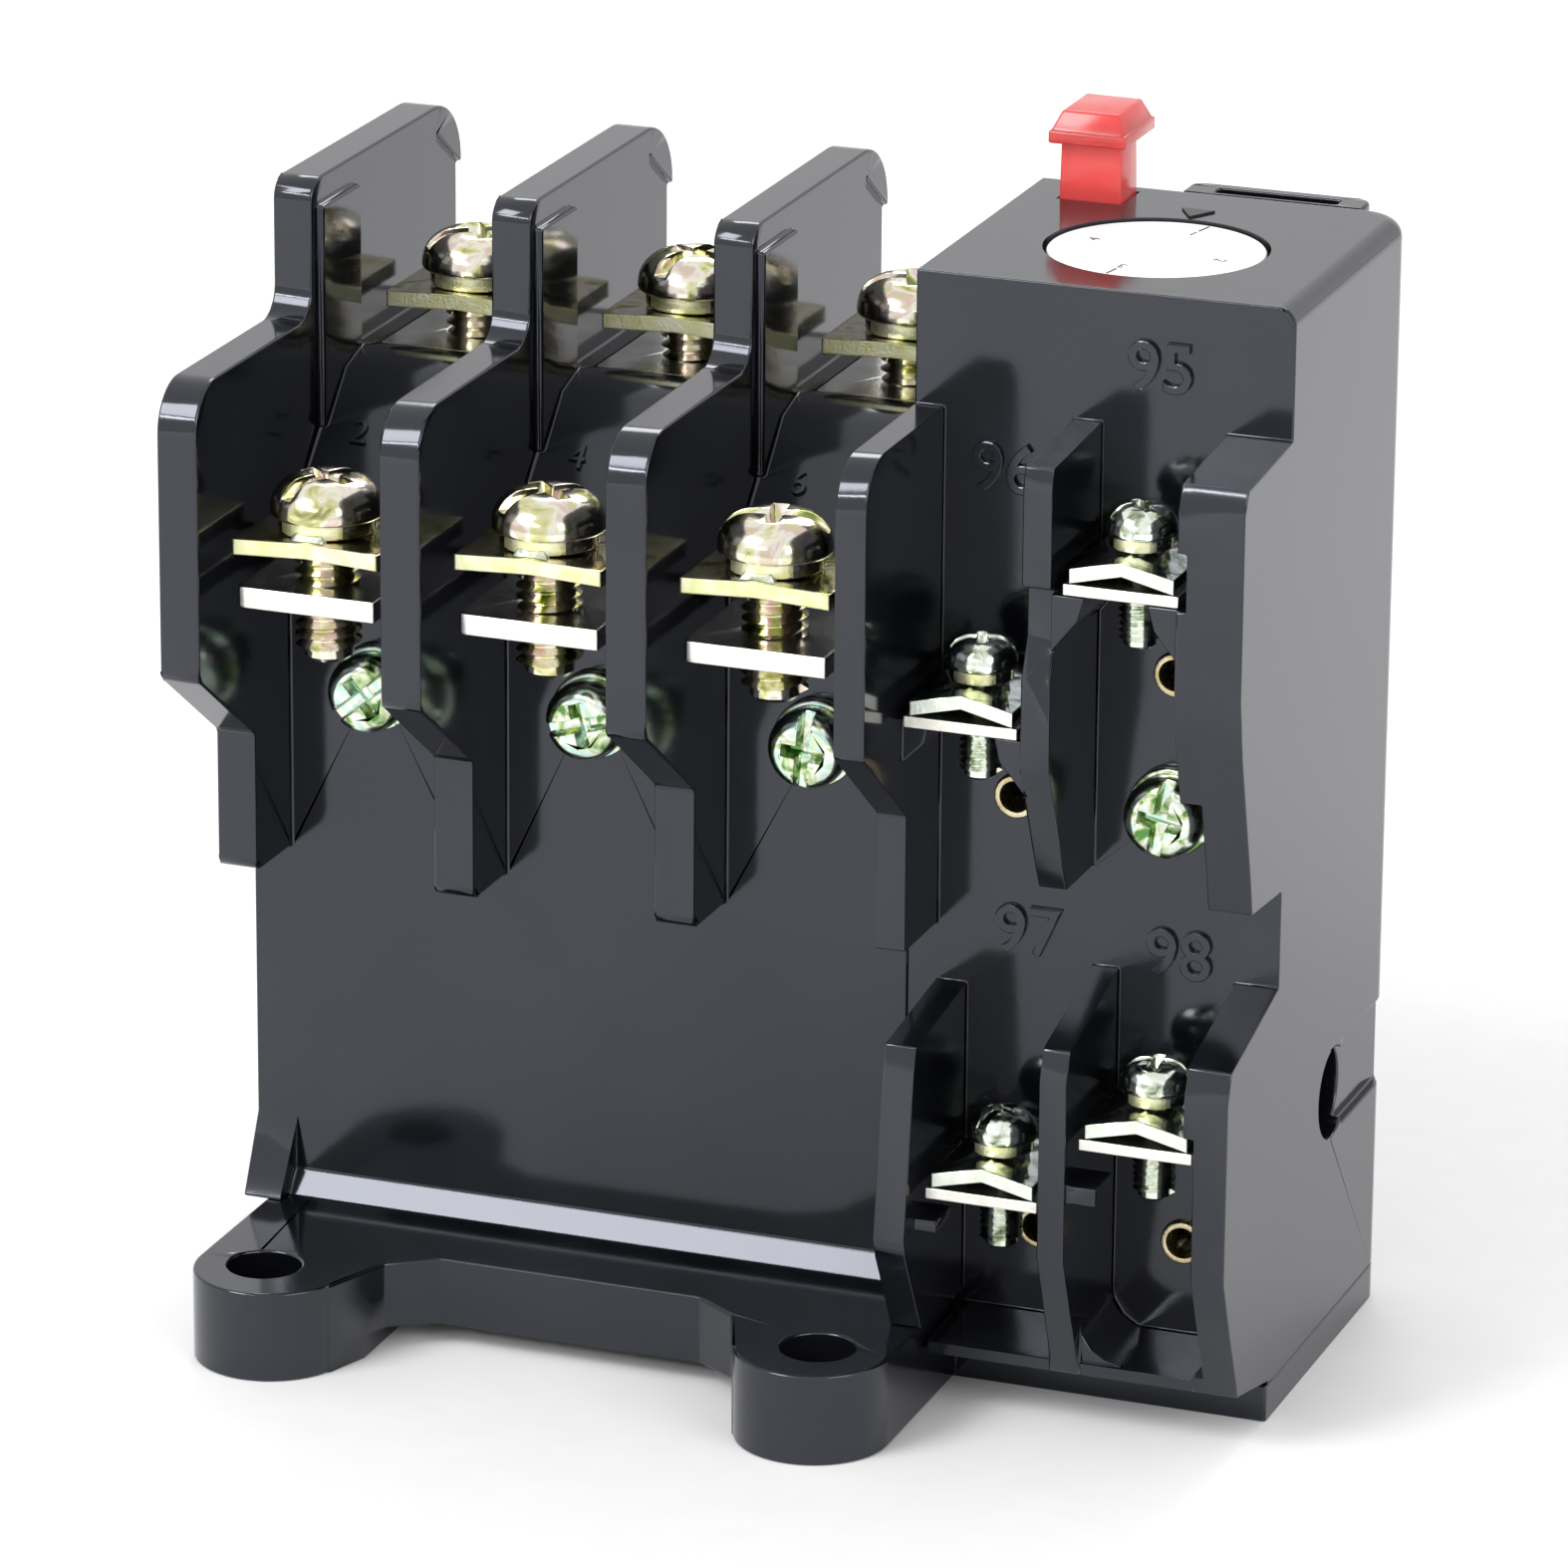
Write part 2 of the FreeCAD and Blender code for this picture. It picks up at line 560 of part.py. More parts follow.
def contact_case_holes(body):
    left, right, wall = BLOCK_LEFT, BLOCK_RIGHT, s.block_wall
    top = s.block_top
    cut_disc(body, "Z", top - s.dial_sink - s.dial_thick, top + 1, s.dial_x, s.dial_y,
             s.dial_radius + 0.25)
    cut_disc(body, "Z", top - 4, top, s.dial_x, s.dial_y, s.shaft_radius + s.run)
    half_x = s.stem_width / 2 + 0.1
    half_y = s.stem_depth / 2 + 0.1
    cut_box(body, (s.button_x - half_x, s.button_x + half_x),
            (s.button_y - half_y, s.button_y + half_y), (top - 4, top + 1))
    # round side hole with its shallow channel to the back
    cut_disc(body, "X", right - wall - 0.5, right + 1, s.dial_y + 2.0, 18.0, 3.1)
    cut_box(body, (right - 0.6, right + 1), (s.dial_y + 4.0, s.block_back + 1), (15.1, 21.0))
    # each plate has its slot through the panel and a seat for its leg behind it
    half, leg = s.plate_width / 2 + s.run, s.plate_leg + s.run
    for centre, plate_top, rivet_x, rivet_z in terminals().values():
        under = plate_top - s.plate_thick - s.run
        cut_box(body, (centre - half, centre + half), (s.panel_y - 0.5, INNER_FRONT + 0.1),
                (under, plate_top + s.run))
        cut_box(body, (rivet_x - leg, rivet_x + leg), (INNER_FRONT - s.plate_thick - s.fit, INNER_FRONT + 0.1),
                (rivet_z - leg, under + 0.1))
        cut_disc(body, "Y", s.panel_y - 0.5, INNER_FRONT + 0.1, rivet_x, rivet_z, s.rivet_body + s.fit)
    cut_disc(body, "Y", s.panel_y - 0.5, INNER_FRONT + 0.1, left + s.front_screw_x, s.front_screw_z,
             s.fixing_thread + s.fit)
    # window for the end of the trip slider
    cut_box(body, (left - 0.1, left + wall + 0.1),
            (s.slider_y - s.slack, s.slider_y + s.slider_width + s.slack),
            (s.base_top - 0.1, s.base_top + 0.2 + s.slider_rise + s.slack))


def base_plate():
    body = new_body("base_plate")
    left, right = s.base_inset, s.hole_left + s.hole_spacing + 4.8
    second = s.hole_left + s.hole_spacing
    add_box(body, (left, BLOCK_LEFT), (6.2, s.case_back), (0, s.base_top))
    add_box(body, (BLOCK_LEFT - 1, right), (6.2, s.panel_y), (0, s.base_top))
    add_box(body, (BLOCK_LEFT - 1, BLOCK_RIGHT), (s.panel_y - 0.5, s.block_back), (0, s.block_bottom))
    round_edges(body, "Z", [(BLOCK_RIGHT, s.block_back)], 3.0)
    add_prism(body, "Z", 0, s.base_top, [
        (left, s.lug_y), (left + 9.9, s.lug_y - 1.9), (left + 11.8, 4.2), (left + 14.8, 6.2),
        (left + 14.8, 9), (left, 9)])
    add_prism(body, "Z", 0, s.base_top, [
        (right, s.lug_y), (right, 9), (right - 14.8, 9), (right - 14.8, 6.2),
        (right - 11.8, 4.2), (right - 9.9, s.lug_y - 1.9)])
    add_disc(body, "Z", 0, s.base_top, left + s.lug_radius, s.lug_y, s.lug_radius)
    add_disc(body, "Z", 0, s.base_top, right - s.lug_radius, s.lug_y, s.lug_radius)
    # the arch between the feet, open at the front and the back
    cut_box(body, (left + 11.1, right - 11.2), (-9, s.case_back + 9), (-1, s.foot_rise))
    for x in (s.hole_left, second):
        cut_disc(body, "Z", -1, s.base_top + 1, x, s.lug_y, s.hole_radius)
    places = base_screw_places()
    for x, y in places:
        cut_disc(body, "Z", -1, s.base_top + 1, x, y, s.self_tap + 0.2)
    for x, y in places[:4]:
        cut_disc(body, "Z", -1, s.base_top - 3.0, x, y, 2.4)
    for x, y in places[4:]:
        cut_disc(body, "Z", -1, s.block_bottom - 1.2, x, y, 2.4)
    return body


def rear_cover():
    body = new_body("rear_cover")
    left, right, top = BLOCK_LEFT + 1.3, BLOCK_RIGHT - 3.5, s.block_top - 1.8
    add_box(body, (left, right), (COVER_FRONT, s.block_back), (s.block_bottom + 1.3, top))
    # hooked tab with its slot, standing out behind the top edge
    add_box(body, (left + 7.9, right), (s.block_back, s.block_back + 2.5), (top - 3.4, top + 1.6))
    cut_box(body, (left + 9.9, right - 1.9), (s.block_back + 0.4, s.block_back + 1.6),
            (top - 4.4, top + 2.6))
    round_edges(body, "Z", [(left + 7.9, s.block_back + 2.5), (right, s.block_back + 2.5)], 1.0)
    for x, z in cover_screw_places():
        cut_disc(body, "Y", COVER_FRONT - 1, s.block_back + 1, x, z, s.self_tap + 0.2)
    for x, z in ((s.lever_pivot_x, s.lever_pivot_z), (s.arm_pivot_x, s.arm_pivot_z)):
        cut_disc(body, "Y", COVER_FRONT - 0.1, COVER_FRONT + 0.8, x, z, s.pin_radius + s.fit)
    return body


# ---------------------------------------------------------------- fasteners


def screw(label, thread, head, rise, length, slot=0.9, crossed=True):
    # a cheese head on a shank that points down, with a plain or a crossed slot
    body = new_body(label)
    deep = rise * 0.5
    half = slot / 2
    if crossed:
        revolve(body, [
            (0, -length), (thread - 0.4, -length), (thread, 0.5 - length), (thread, 0), (head, 0),
            (head, rise * 0.72), (head * 0.72, rise), (0, rise)])
        cut_box(body, (-half, half), (-(head * 0.62), head * 0.62), (rise - deep, rise + 0.1))
    else:
        revolve(body, [(0, -length), (thread, -length), (thread, 0), (head, 0), (head, rise), (0, rise)])
    cut_box(body, (-head - 0.1, head + 0.1), (-half, half), (rise - deep, rise + 0.1))
    return body


def laid(body, x, y, z):
    # turns a screw or washer so that its head looks to the front
    body.Placement = FreeCAD.Placement(Vector(0, 0, 0), FreeCAD.Rotation(Vector(1, 0, 0), 90))
    place(body, x, y, z)
    return body


def washer(label, inner, outer, thick, split=0.0):
    body = new_body(label)
    revolve(body, [(inner, 0), (outer, 0), (outer, thick), (inner, thick)])
    if split:
        cut_box(body, (0, outer + 0.1), (-split / 2, split / 2), (-0.1, thick + 0.1))
    return body


def saddle(label, width, depth, thick, rise, hole):
    # a clamping plate folded along its middle, with its hole for the screw
    body = new_body(label)
    half = width / 2
    add_prism(body, "Y", -(depth / 2), depth / 2, [
        (-half, 0), (0, rise), (half, 0), (half, thick), (0, rise + thick), (-half, thick)])
    cut_disc(body, "Z", -1, rise + thick + 1, 0, 0, hole)
    return body


def main_terminals(row, bottom, y, lifts):
    # one row of main terminals: saddles, lock washers and screws over the bars
    saddles, locks, screws = [], [], []
    for pole, lift in enumerate(lifts):
        x = bay_centre(pole)
        rest = bottom + s.clamp_lift + lift
        fold = 0.25
        plate = saddle("%s_saddle_piece" % row, s.saddle_width, s.saddle_depth, s.saddle_thick,
                       fold, s.main_thread + 0.25)
        place(plate, x, y, rest)
        ring = washer("%s_lock_piece" % row, s.main_thread + 0.15, s.main_thread + 1.2,
                      s.lock_thick, 0.5)
        place(ring, x, y, rest + s.saddle_thick + fold)
        bolt = screw("%s_screw_piece" % row, s.main_thread, s.main_head, s.main_head_rise, s.main_length)
        place(bolt, x, y, rest + s.saddle_thick + fold + s.lock_thick)
        saddles.append(plate)
        locks.append(ring)
        screws.append(bolt)
    return [group(row + "_saddles", saddles), group(row + "_lock_washers", locks),
            group(row + "_screws", screws)]


def load_bar(pole):
    # from the front terminal through the panel, then down behind it
    body = new_body("load_bar_%d" % (pole + 1), bay_centre(pole))
    half = s.bar_width / 2
    inner = INNER_FRONT + s.fit
    add_prism(body, "X", -half, half, [
        (s.bar_front, s.bar_top - s.bar_thick), (inner, s.bar_top - s.bar_thick),
        (inner, s.fixing_z - 4.5), (inner + s.bar_thick, s.fixing_z - 4.5),
        (inner + s.bar_thick, s.bar_top), (s.bar_front, s.bar_top)])
    cut_disc(body, "Z", s.bar_top - 2, s.bar_top + 1, 0, s.load_y, s.main_thread + s.fit)
    cut_disc(body, "Y", inner - 0.1, inner + s.bar_thick + 0.1, 0, s.fixing_z, s.fixing_thread + s.fit)
    return body


def line_bar(pole):
    # flat on the ledge under the line terminal, with a leg into the case
    body = new_body("line_bar_%d" % (pole + 1), bay_centre(pole))
    half = s.bar_width / 2
    back = INNER_BACK - 0.3
    top = s.ledge_top
    add_box(body, (-half, half), (s.ledge_front + 1.0, s.case_back - 1.3), (top - s.bar_thick, top))
    add_box(body, (-3.0, 3.0), (back - s.bar_thick, back), (s.bimetal_root + 0.4, top - s.bar_thick + 0.1))
    cut_disc(body, "Z", top - 2, top + 1, 0, s.line_y, s.main_thread + s.fit)
    return body


def aux_terminal(code, centre, plate_top, rivet_x, rivet_z):
    # plate under the screw that passes through the panel and turns down behind it to its rivet
    body = new_body("terminal_plate_%d" % code)
    half = s.plate_width / 2
    under = plate_top - s.plate_thick
    add_box(body, (centre - half, centre + half), (s.plate_front, INNER_FRONT), (under, plate_top))
    add_box(body, (rivet_x - s.plate_leg, rivet_x + s.plate_leg), (INNER_FRONT - s.plate_thick, INNER_FRONT),
            (rivet_z - s.plate_leg, under + 0.1))
    cut_disc(body, "Z", under - 1, plate_top + 1, centre, s.aux_y, s.aux_thread + s.fit)
    cut_disc(body, "Y", s.panel_y, INNER_FRONT + 0.1, rivet_x, rivet_z, s.rivet_body + s.fit)
    return body


def rivet(code, x, z):
    # hollow rivet through the panel, the plate's leg and the inner strip
    reach = s.panel_wall + s.fit + s.strip_thick
    body = new_body("rivet_piece_%d" % code)
    revolve(body, [
        (s.rivet_bore, 0.45), (s.rivet_lip - 0.1, 0.45), (s.rivet_lip, 0.0), (s.rivet_body, 0.0),
        (s.rivet_body, -reach), (s.rivet_lip, -reach), (s.rivet_bore, -reach - 0.4)])
    return laid(body, x, s.panel_y, z)


def fixed_contact(code, flag_x, strips, flags, tip_y, tip_z, tip_radius=0.9, tip_thick=0.6):
    # strip behind the panel, with a flag turned back to carry the silver tip
    body = new_body("fixed_contact_%d" % code)
    near = INNER_FRONT + s.fit
    for xs, zs in strips:
        add_box(body, xs, (near, near + s.strip_thick), zs)
    for ys, zs in flags:
        add_box(body, (flag_x, flag_x + s.strip_thick), ys, zs)
    add_disc(body, "X", flag_x + s.strip_thick, flag_x + s.strip_thick + tip_thick, tip_y, tip_z, tip_radius)
    rivet_x, rivet_z = terminals()[code][2], terminals()[code][3]
    cut_disc(body, "Y", near - 0.1, near + 2, rivet_x, rivet_z, s.rivet_body + s.fit)
    return body


# ---------------------------------------------------------------- mechanism

TIP_FRONT = INNER_FRONT + 2.7
TIP_BACK = INNER_FRONT + 12.0
BRIDGE_X = s.arm_pivot_x - s.arm_thick / 2 - 0.6
NC_FLAG = BRIDGE_X - 0.6 - s.run - 0.6 - s.strip_thick
NO_FLAG = NC_FLAG - 1.25


def fixed_contacts():
    flag = 3.5
    places = terminals()
    near = INNER_FRONT + s.fit
    thick = s.strip_thick
    x95, z95 = places[95][2], places[95][3]
    x96, z96 = places[96][2], places[96][3]
    x97, z97 = places[97][2], places[97][3]
    x98, z98 = places[98][2], places[98][3]
    nc = (s.nc_z - flag / 2, s.nc_z + flag / 2)
    no = (s.no_z - flag / 2, s.no_z + flag / 2)
    above = (s.nc_z + 4.0, s.nc_z + 7.2)
    below = (z98 - 1.9, z98 + 1.9)
    return [
        fixed_contact(95, NC_FLAG, [((NC_FLAG, x95 + 2), above), ((x95 - 2, x95 + 2), (z95 - 2, above[1]))],
                      [((near, TIP_BACK + 1.6), above), ((TIP_BACK - 1.6, TIP_BACK + 1.6), (nc[0], above[1]))],
                      TIP_BACK, s.nc_z),
        fixed_contact(96, NC_FLAG, [((x96 - 2, x96 + 2), (z96 - 2, nc[1])), ((x96 - 2, NC_FLAG + thick), nc)],
                      [((near, TIP_FRONT + 1.6), nc)], TIP_FRONT, s.nc_z),
        fixed_contact(97, NO_FLAG, [((x97 - 2, x97 + 1.7), (z97 - 2, no[1])), ((x97 - 2, NO_FLAG + thick), no)],
                      [((near, TIP_FRONT + 1.6), no)], TIP_FRONT, s.no_z),
        fixed_contact(98, NO_FLAG, [((NO_FLAG, x98 + 2), below)],
                      [((near, TIP_BACK + 1.6), below), ((TIP_BACK - 1.6, TIP_BACK + 1.6), (below[0], no[1]))],
                      TIP_BACK, s.no_z),
    ]


def contact_arm():
    body = new_body("contact_arm")
    x, z = s.arm_pivot_x, s.arm_pivot_z
    half = s.arm_thick / 2
    low, high = s.no_z - 4.0, s.nc_z + 3.5
    front, back = INNER_FRONT + 2.0, INNER_FRONT + 13.0
    add_box(body, (x - half, x + half), (front, back), (low, high))
    add_disc(body, "Y", front, back, x, z, s.pin_radius + 1.3)
    # lightening windows between the hub and the contacts
    for lower, upper in ((s.no_z + 3.0, z - 4.2), (z + 8.0, s.nc_z - 3.0)):
        cut_prism(body, "X", x - half - 1, x + half + 1, rectangle(front + 2.5, back - 2.5, lower, upper))
    cut_disc(body, "Y", front - 1, back + 1, x, z, s.pin_radius + s.run)
    return body


def contact_bridges():
    # two bridges with silver tips on the arm's left side
    bridges = []
    for label, z in (("nc_bridge", s.nc_z), ("no_bridge", s.no_z)):
        body = new_body(label)
        add_box(body, (BRIDGE_X, BRIDGE_X + 0.6), (TIP_FRONT - 1.2, TIP_BACK + 1.2), (z - 1.5, z + 1.5))
        for y in (TIP_FRONT, TIP_BACK):
            add_disc(body, "X", BRIDGE_X - 0.6, BRIDGE_X + 0.1, y, z, 0.9)
        bridges.append(body)
    return group("contact_bridges", bridges)


def snap_spring():
    # bowed leaf on the arm's right side, its middle near the case's wall
    body = new_body("snap_spring")
    x = s.arm_pivot_x + s.arm_thick / 2
    z = s.nc_z
    add_prism(body, "Y", INNER_FRONT + 5.5, INNER_FRONT + 9.5, [
        (x, z + 2.5), (x, z - 1.5), (x + 0.4, z - 1.5), (x + 2.6, z - 5.0), (x + 2.6, z - 9.0),
        (x + 1.7, z - 12.0), (x + 2.1, z - 12.2), (x + 3.0, z - 9.1), (x + 3.0, z - 4.8),
        (x + 0.8, z - 1.2), (x + 0.4, z + 2.5)])
    return body


def setting_lever():
    body = new_body("setting_lever")
    face = s.dial_x - s.cam_low - s.slack
    px, pz = s.lever_pivot_x, s.lever_pivot_z
    qx, qz = s.strip_pivot_x, s.strip_pivot_z
    front, back = s.lever_y, s.lever_y + s.lever_width
    top = s.cam_bottom + s.cam_thick - 0.4
    add_prism(body, "Y", front, back, [
        (face - 1.6, top), (face - 1.6, pz + 2), (qx - 1.7, qz + 1.5), (qx - 1.7, qz - 1.8),
        (qx + 1.9, qz - 1.8), (px + 1.9, pz - 2.5), (face, pz + 2), (face, top)])
    add_disc(body, "Y", front, back, px, pz, s.pin_radius + 1.2)
    # fork for the compensating strip
    cut_prism(body, "Y", front + 1.3, back - 1.3, rectangle(qx - 4, qx + 4.2, qz - 4, qz + 2.2))
    cut_disc(body, "Y", front - 1, back + 1, px, pz, s.pin_radius + s.run)
    cut_disc(body, "Y", front - 1, back + 1, qx, qz, s.small_pin + s.fit)
    return body


def compensating_strip():
    # temperature compensating bimetal, hung in the setting lever's fork
    body = new_body("compensating_strip")
    x, z = s.strip_pivot_x, s.strip_pivot_z
    left = s.slider_end + s.slack
    front, back = s.lever_y + 1.6, s.lever_y + s.lever_width - 1.6
    bottom = s.base_top + 0.7
    nose = s.arm_pivot_x - s.arm_thick / 2 - 1.0
    add_prism(body, "Y", front, back, rectangle(left, left + 1.0, bottom, z))
    add_disc(body, "Y", front, back, x, z, s.small_pin + 0.9)
    add_prism(body, "Y", front, back, [(left, z - 0.5), (left, z + 1.0), (x, z + 1.6), (x, z - 1.2)])
    add_prism(body, "Y", front, back, [
        (left + 0.5, z - 7.0), (nose, z - 6.2), (nose, z - 4.8), (left + 0.5, z - 4.2)])
    cut_disc(body, "Y", front - 1, back + 1, x, z, s.small_pin + s.run)
    return body


def trip_slider():
    # bar on the base plate with one lug beside each bimetal strip
    body = new_body("trip_slider")
    low = s.base_top + 0.2
    front, back = s.slider_y, s.slider_y + s.slider_width
    add_box(body, (s.barrier + 1.5, s.slider_end), (front, back), (low, low + s.slider_rise))
    for pole in range(3):
        left = bay_centre(pole) + s.bimetal_thick / 2 + s.slack
        add_prism(body, "Y", front, back, [
            (left, low + 1), (left + 2.2, low + 1), (left + 1.5, s.bimetal_tip + 2.2), (left, s.bimetal_tip + 2.2)])
    return body


def bimetal(pole):
    # strip with a rounded pushing end and a narrowed root
    body = new_body("bimetal_%d" % (pole + 1), bay_centre(pole))
    half = s.bimetal_thick / 2
    front, back = s.bimetal_y, s.bimetal_y + s.bimetal_width
    add_prism(body, "X", -half, half, [
        (front, s.bimetal_tip + 1), (front + 1, s.bimetal_tip), (back - 1, s.bimetal_tip),
        (back, s.bimetal_tip + 1), (back, s.bimetal_root - 4), (back - 0.9, s.bimetal_root - 3),
        (back - 0.9, s.bimetal_root), (front + 0.9, s.bimetal_root), (front + 0.9, s.bimetal_root - 3),
        (front, s.bimetal_root - 4)])
    return body


def bimetal_bracket(pole):
    # block on the line bar's leg that holds the strip's root and the heater
    body = new_body("bimetal_bracket_%d" % (pole + 1), bay_centre(pole))
    leg = INNER_BACK - 0.3 - s.bar_thick
    add_box(body, (-1.6, 1.6), (s.bimetal_y - 0.5, leg), (s.bimetal_root + 0.3, s.bimetal_root + 3.5))
    add_box(body, (-3.4, 3.4), (leg - 1.2, leg), (s.bimetal_root + 0.3, s.bimetal_root + 5.0))
    return body


def heater(pole):
    # ribbon bent into a zigzag beside the strip, from the bracket to the load bar
    body = new_body("heater_%d" % (pole + 1), bay_centre(pole))
    front, back = INNER_FRONT + s.fit + s.bar_thick, s.bimetal_y + s.bimetal_width + 1.5
    left, right = -2.6, -2.1
    turn = 4.2
    low = s.bimetal_tip + 6.5
    ribbon = 1.9
    inner_front = s.bimetal_y - 1.5
    for step in range(7):
        z = low + turn * step
        add_prism(body, "X", left, right, rectangle(inner_front, back, z, z + ribbon))
        edge = (back - ribbon, back) if step % 2 else (inner_front, inner_front + ribbon)
        if step < 6:
            add_prism(body, "X", left, right, rectangle(edge[0], edge[1], z + ribbon - 0.5, z + turn + 0.5))
    top = low + turn * 6 + ribbon
    add_prism(body, "X", left, right, rectangle(back - ribbon, back, top - 0.5, s.bimetal_root + 0.5))
    add_prism(body, "X", left, -1.6, rectangle(back - ribbon, back, s.bimetal_root + 0.3, s.bimetal_root + 3.0))
    # lower end runs forward and up to the load bar's leg
    add_prism(body, "X", left, right, rectangle(back - ribbon, back, low - ribbon, low + 0.5))
    add_prism(body, "X", left, right, rectangle(front, back, low - ribbon - 0.9, low - ribbon + 1.0))
    add_prism(body, "X", left, right, rectangle(front, front + ribbon, low - ribbon, s.fixing_z - 2.5))
    return body


def cam():
    # spiral cam under its shaft: radius rises evenly over three quarters of a turn
    part = doc.addObject("Part::Feature", "setting_cam")
    part.Label = "setting_cam"
    low, lift = s.cam_low.number, s.cam_lift.number
    points = []
    steps = 24
    for k in range(steps):
        turn = 360.0 * k / steps
        rise = lift * turn / 270.0 if turn <= 270 else lift * (360 - turn) / 90.0
        angle = math.radians(180 - turn)
        points.append(Vector((low + rise) * math.cos(angle), (low + rise) * math.sin(angle), 0))
    curve = Part.BSplineCurve()
    curve.interpolate(Points=points, PeriodicFlag=True)
    face = Part.Face(Part.Wire([curve.toShape()]))
    disc = face.extrude(Vector(0, 0, s.cam_thick.number))
    top = s.block_top - s.dial_sink - s.dial_thick - s.cam_bottom
    shaft = Part.makeCylinder(s.shaft_radius.number, top.number)
    part.Shape = disc.fuse(shaft)
    place(part, s.dial_x, s.dial_y, s.cam_bottom)
    return part


def setting_dial():
    body = new_body("setting_dial", s.dial_x, s.dial_y, s.block_top - s.dial_sink - s.dial_thick)
    add_disc(body, "Z", 0, s.dial_thick, 0, 0, s.dial_radius)
    return body


def dial_clip():
    body = washer("dial_clip", s.shaft_radius + s.fit, s.shaft_radius + 1.3, 0.6, 1.6)
    place(body, s.dial_x, s.dial_y, s.block_top - 2.5 - s.run - 0.6)
    return body


def reset_button():
    # moulded cap on a square stem that is held under the top by its collar
    body = new_body("reset_button", s.button_x, s.button_y)
    half_x, half_y = s.stem_width / 2, s.stem_depth / 2
    under = s.block_top - 2.5 - 0.1
    add_box(body, (-half_x, half_x), (-half_y, half_y), (under - 1.8, s.cap_bottom + 0.2))
    add_box(body, (-half_x - 0.45, half_x + 0.45), (-half_y, half_y), (under - 1.8, under))
    add_box(body, (-2.25, 2.25), (-2.6, 3.6), (s.cap_bottom, s.cap_top))
    round_edges(body, "X", [(-2.6, s.cap_top), (3.6, s.cap_top)], 0.8)
    return body


def reset_plunger():
    # round rod with a foot that reaches over the contact arm
    body = new_body("reset_plunger", s.button_x, s.button_y)
    top = s.block_top - 2.5 - 0.1 - 1.8
    foot = (s.nc_z + 7.0, s.nc_z + 10.0)
    reach = s.arm_pivot_x - s.button_x
    add_disc(body, "Z", foot[0] + 1, top, 0, 0, s.rod_radius)
    add_box(body, (-1.6, reach + 1.5), (-1.8, 1.2), foot)
    add_box(body, (reach - 1.0, reach + 1.5), (-10.0, -1.0), foot)
    return body


def reset_spring():
    # compression spring: a hexagonal wire swept along short straight runs of a helix
    part = doc.addObject("Part::Feature", "reset_spring")
    part.Label = "reset_spring"
    wire = s.spring_wire.number / 2
    radius = s.rod_radius.number + wire + 0.3
    bottom = s.shelf_top + wire + 0.02
    top = s.block_top - 2.5 - 0.1 - 1.8 - 0.02 - wire
    rise = (top - bottom).number
    runs = 12 * int(s.spring_turns.number)
    points = []
    for k in range(runs + 1):
        angle = 2 * math.pi * k / 12
        points.append(Vector(radius * math.cos(angle), radius * math.sin(angle), rise * k / runs))
    start = points[0]
    corners = []
    for k in range(7):
        angle = math.pi * k / 3
        corners.append(start + Vector(wire * math.cos(angle), 0, wire * math.sin(angle)))
    path = Part.makePolygon(points)
    profile = Part.makePolygon(corners)
    part.Shape = path.makePipeShell([profile], True, False, 1)
    place(part, s.button_x, s.button_y, bottom)
    return part


def pivot_pin(label, x, z, front, back, radius):
    body = new_body(label)
    add_disc(body, "Y", front, back, x, z, radius)
    return body


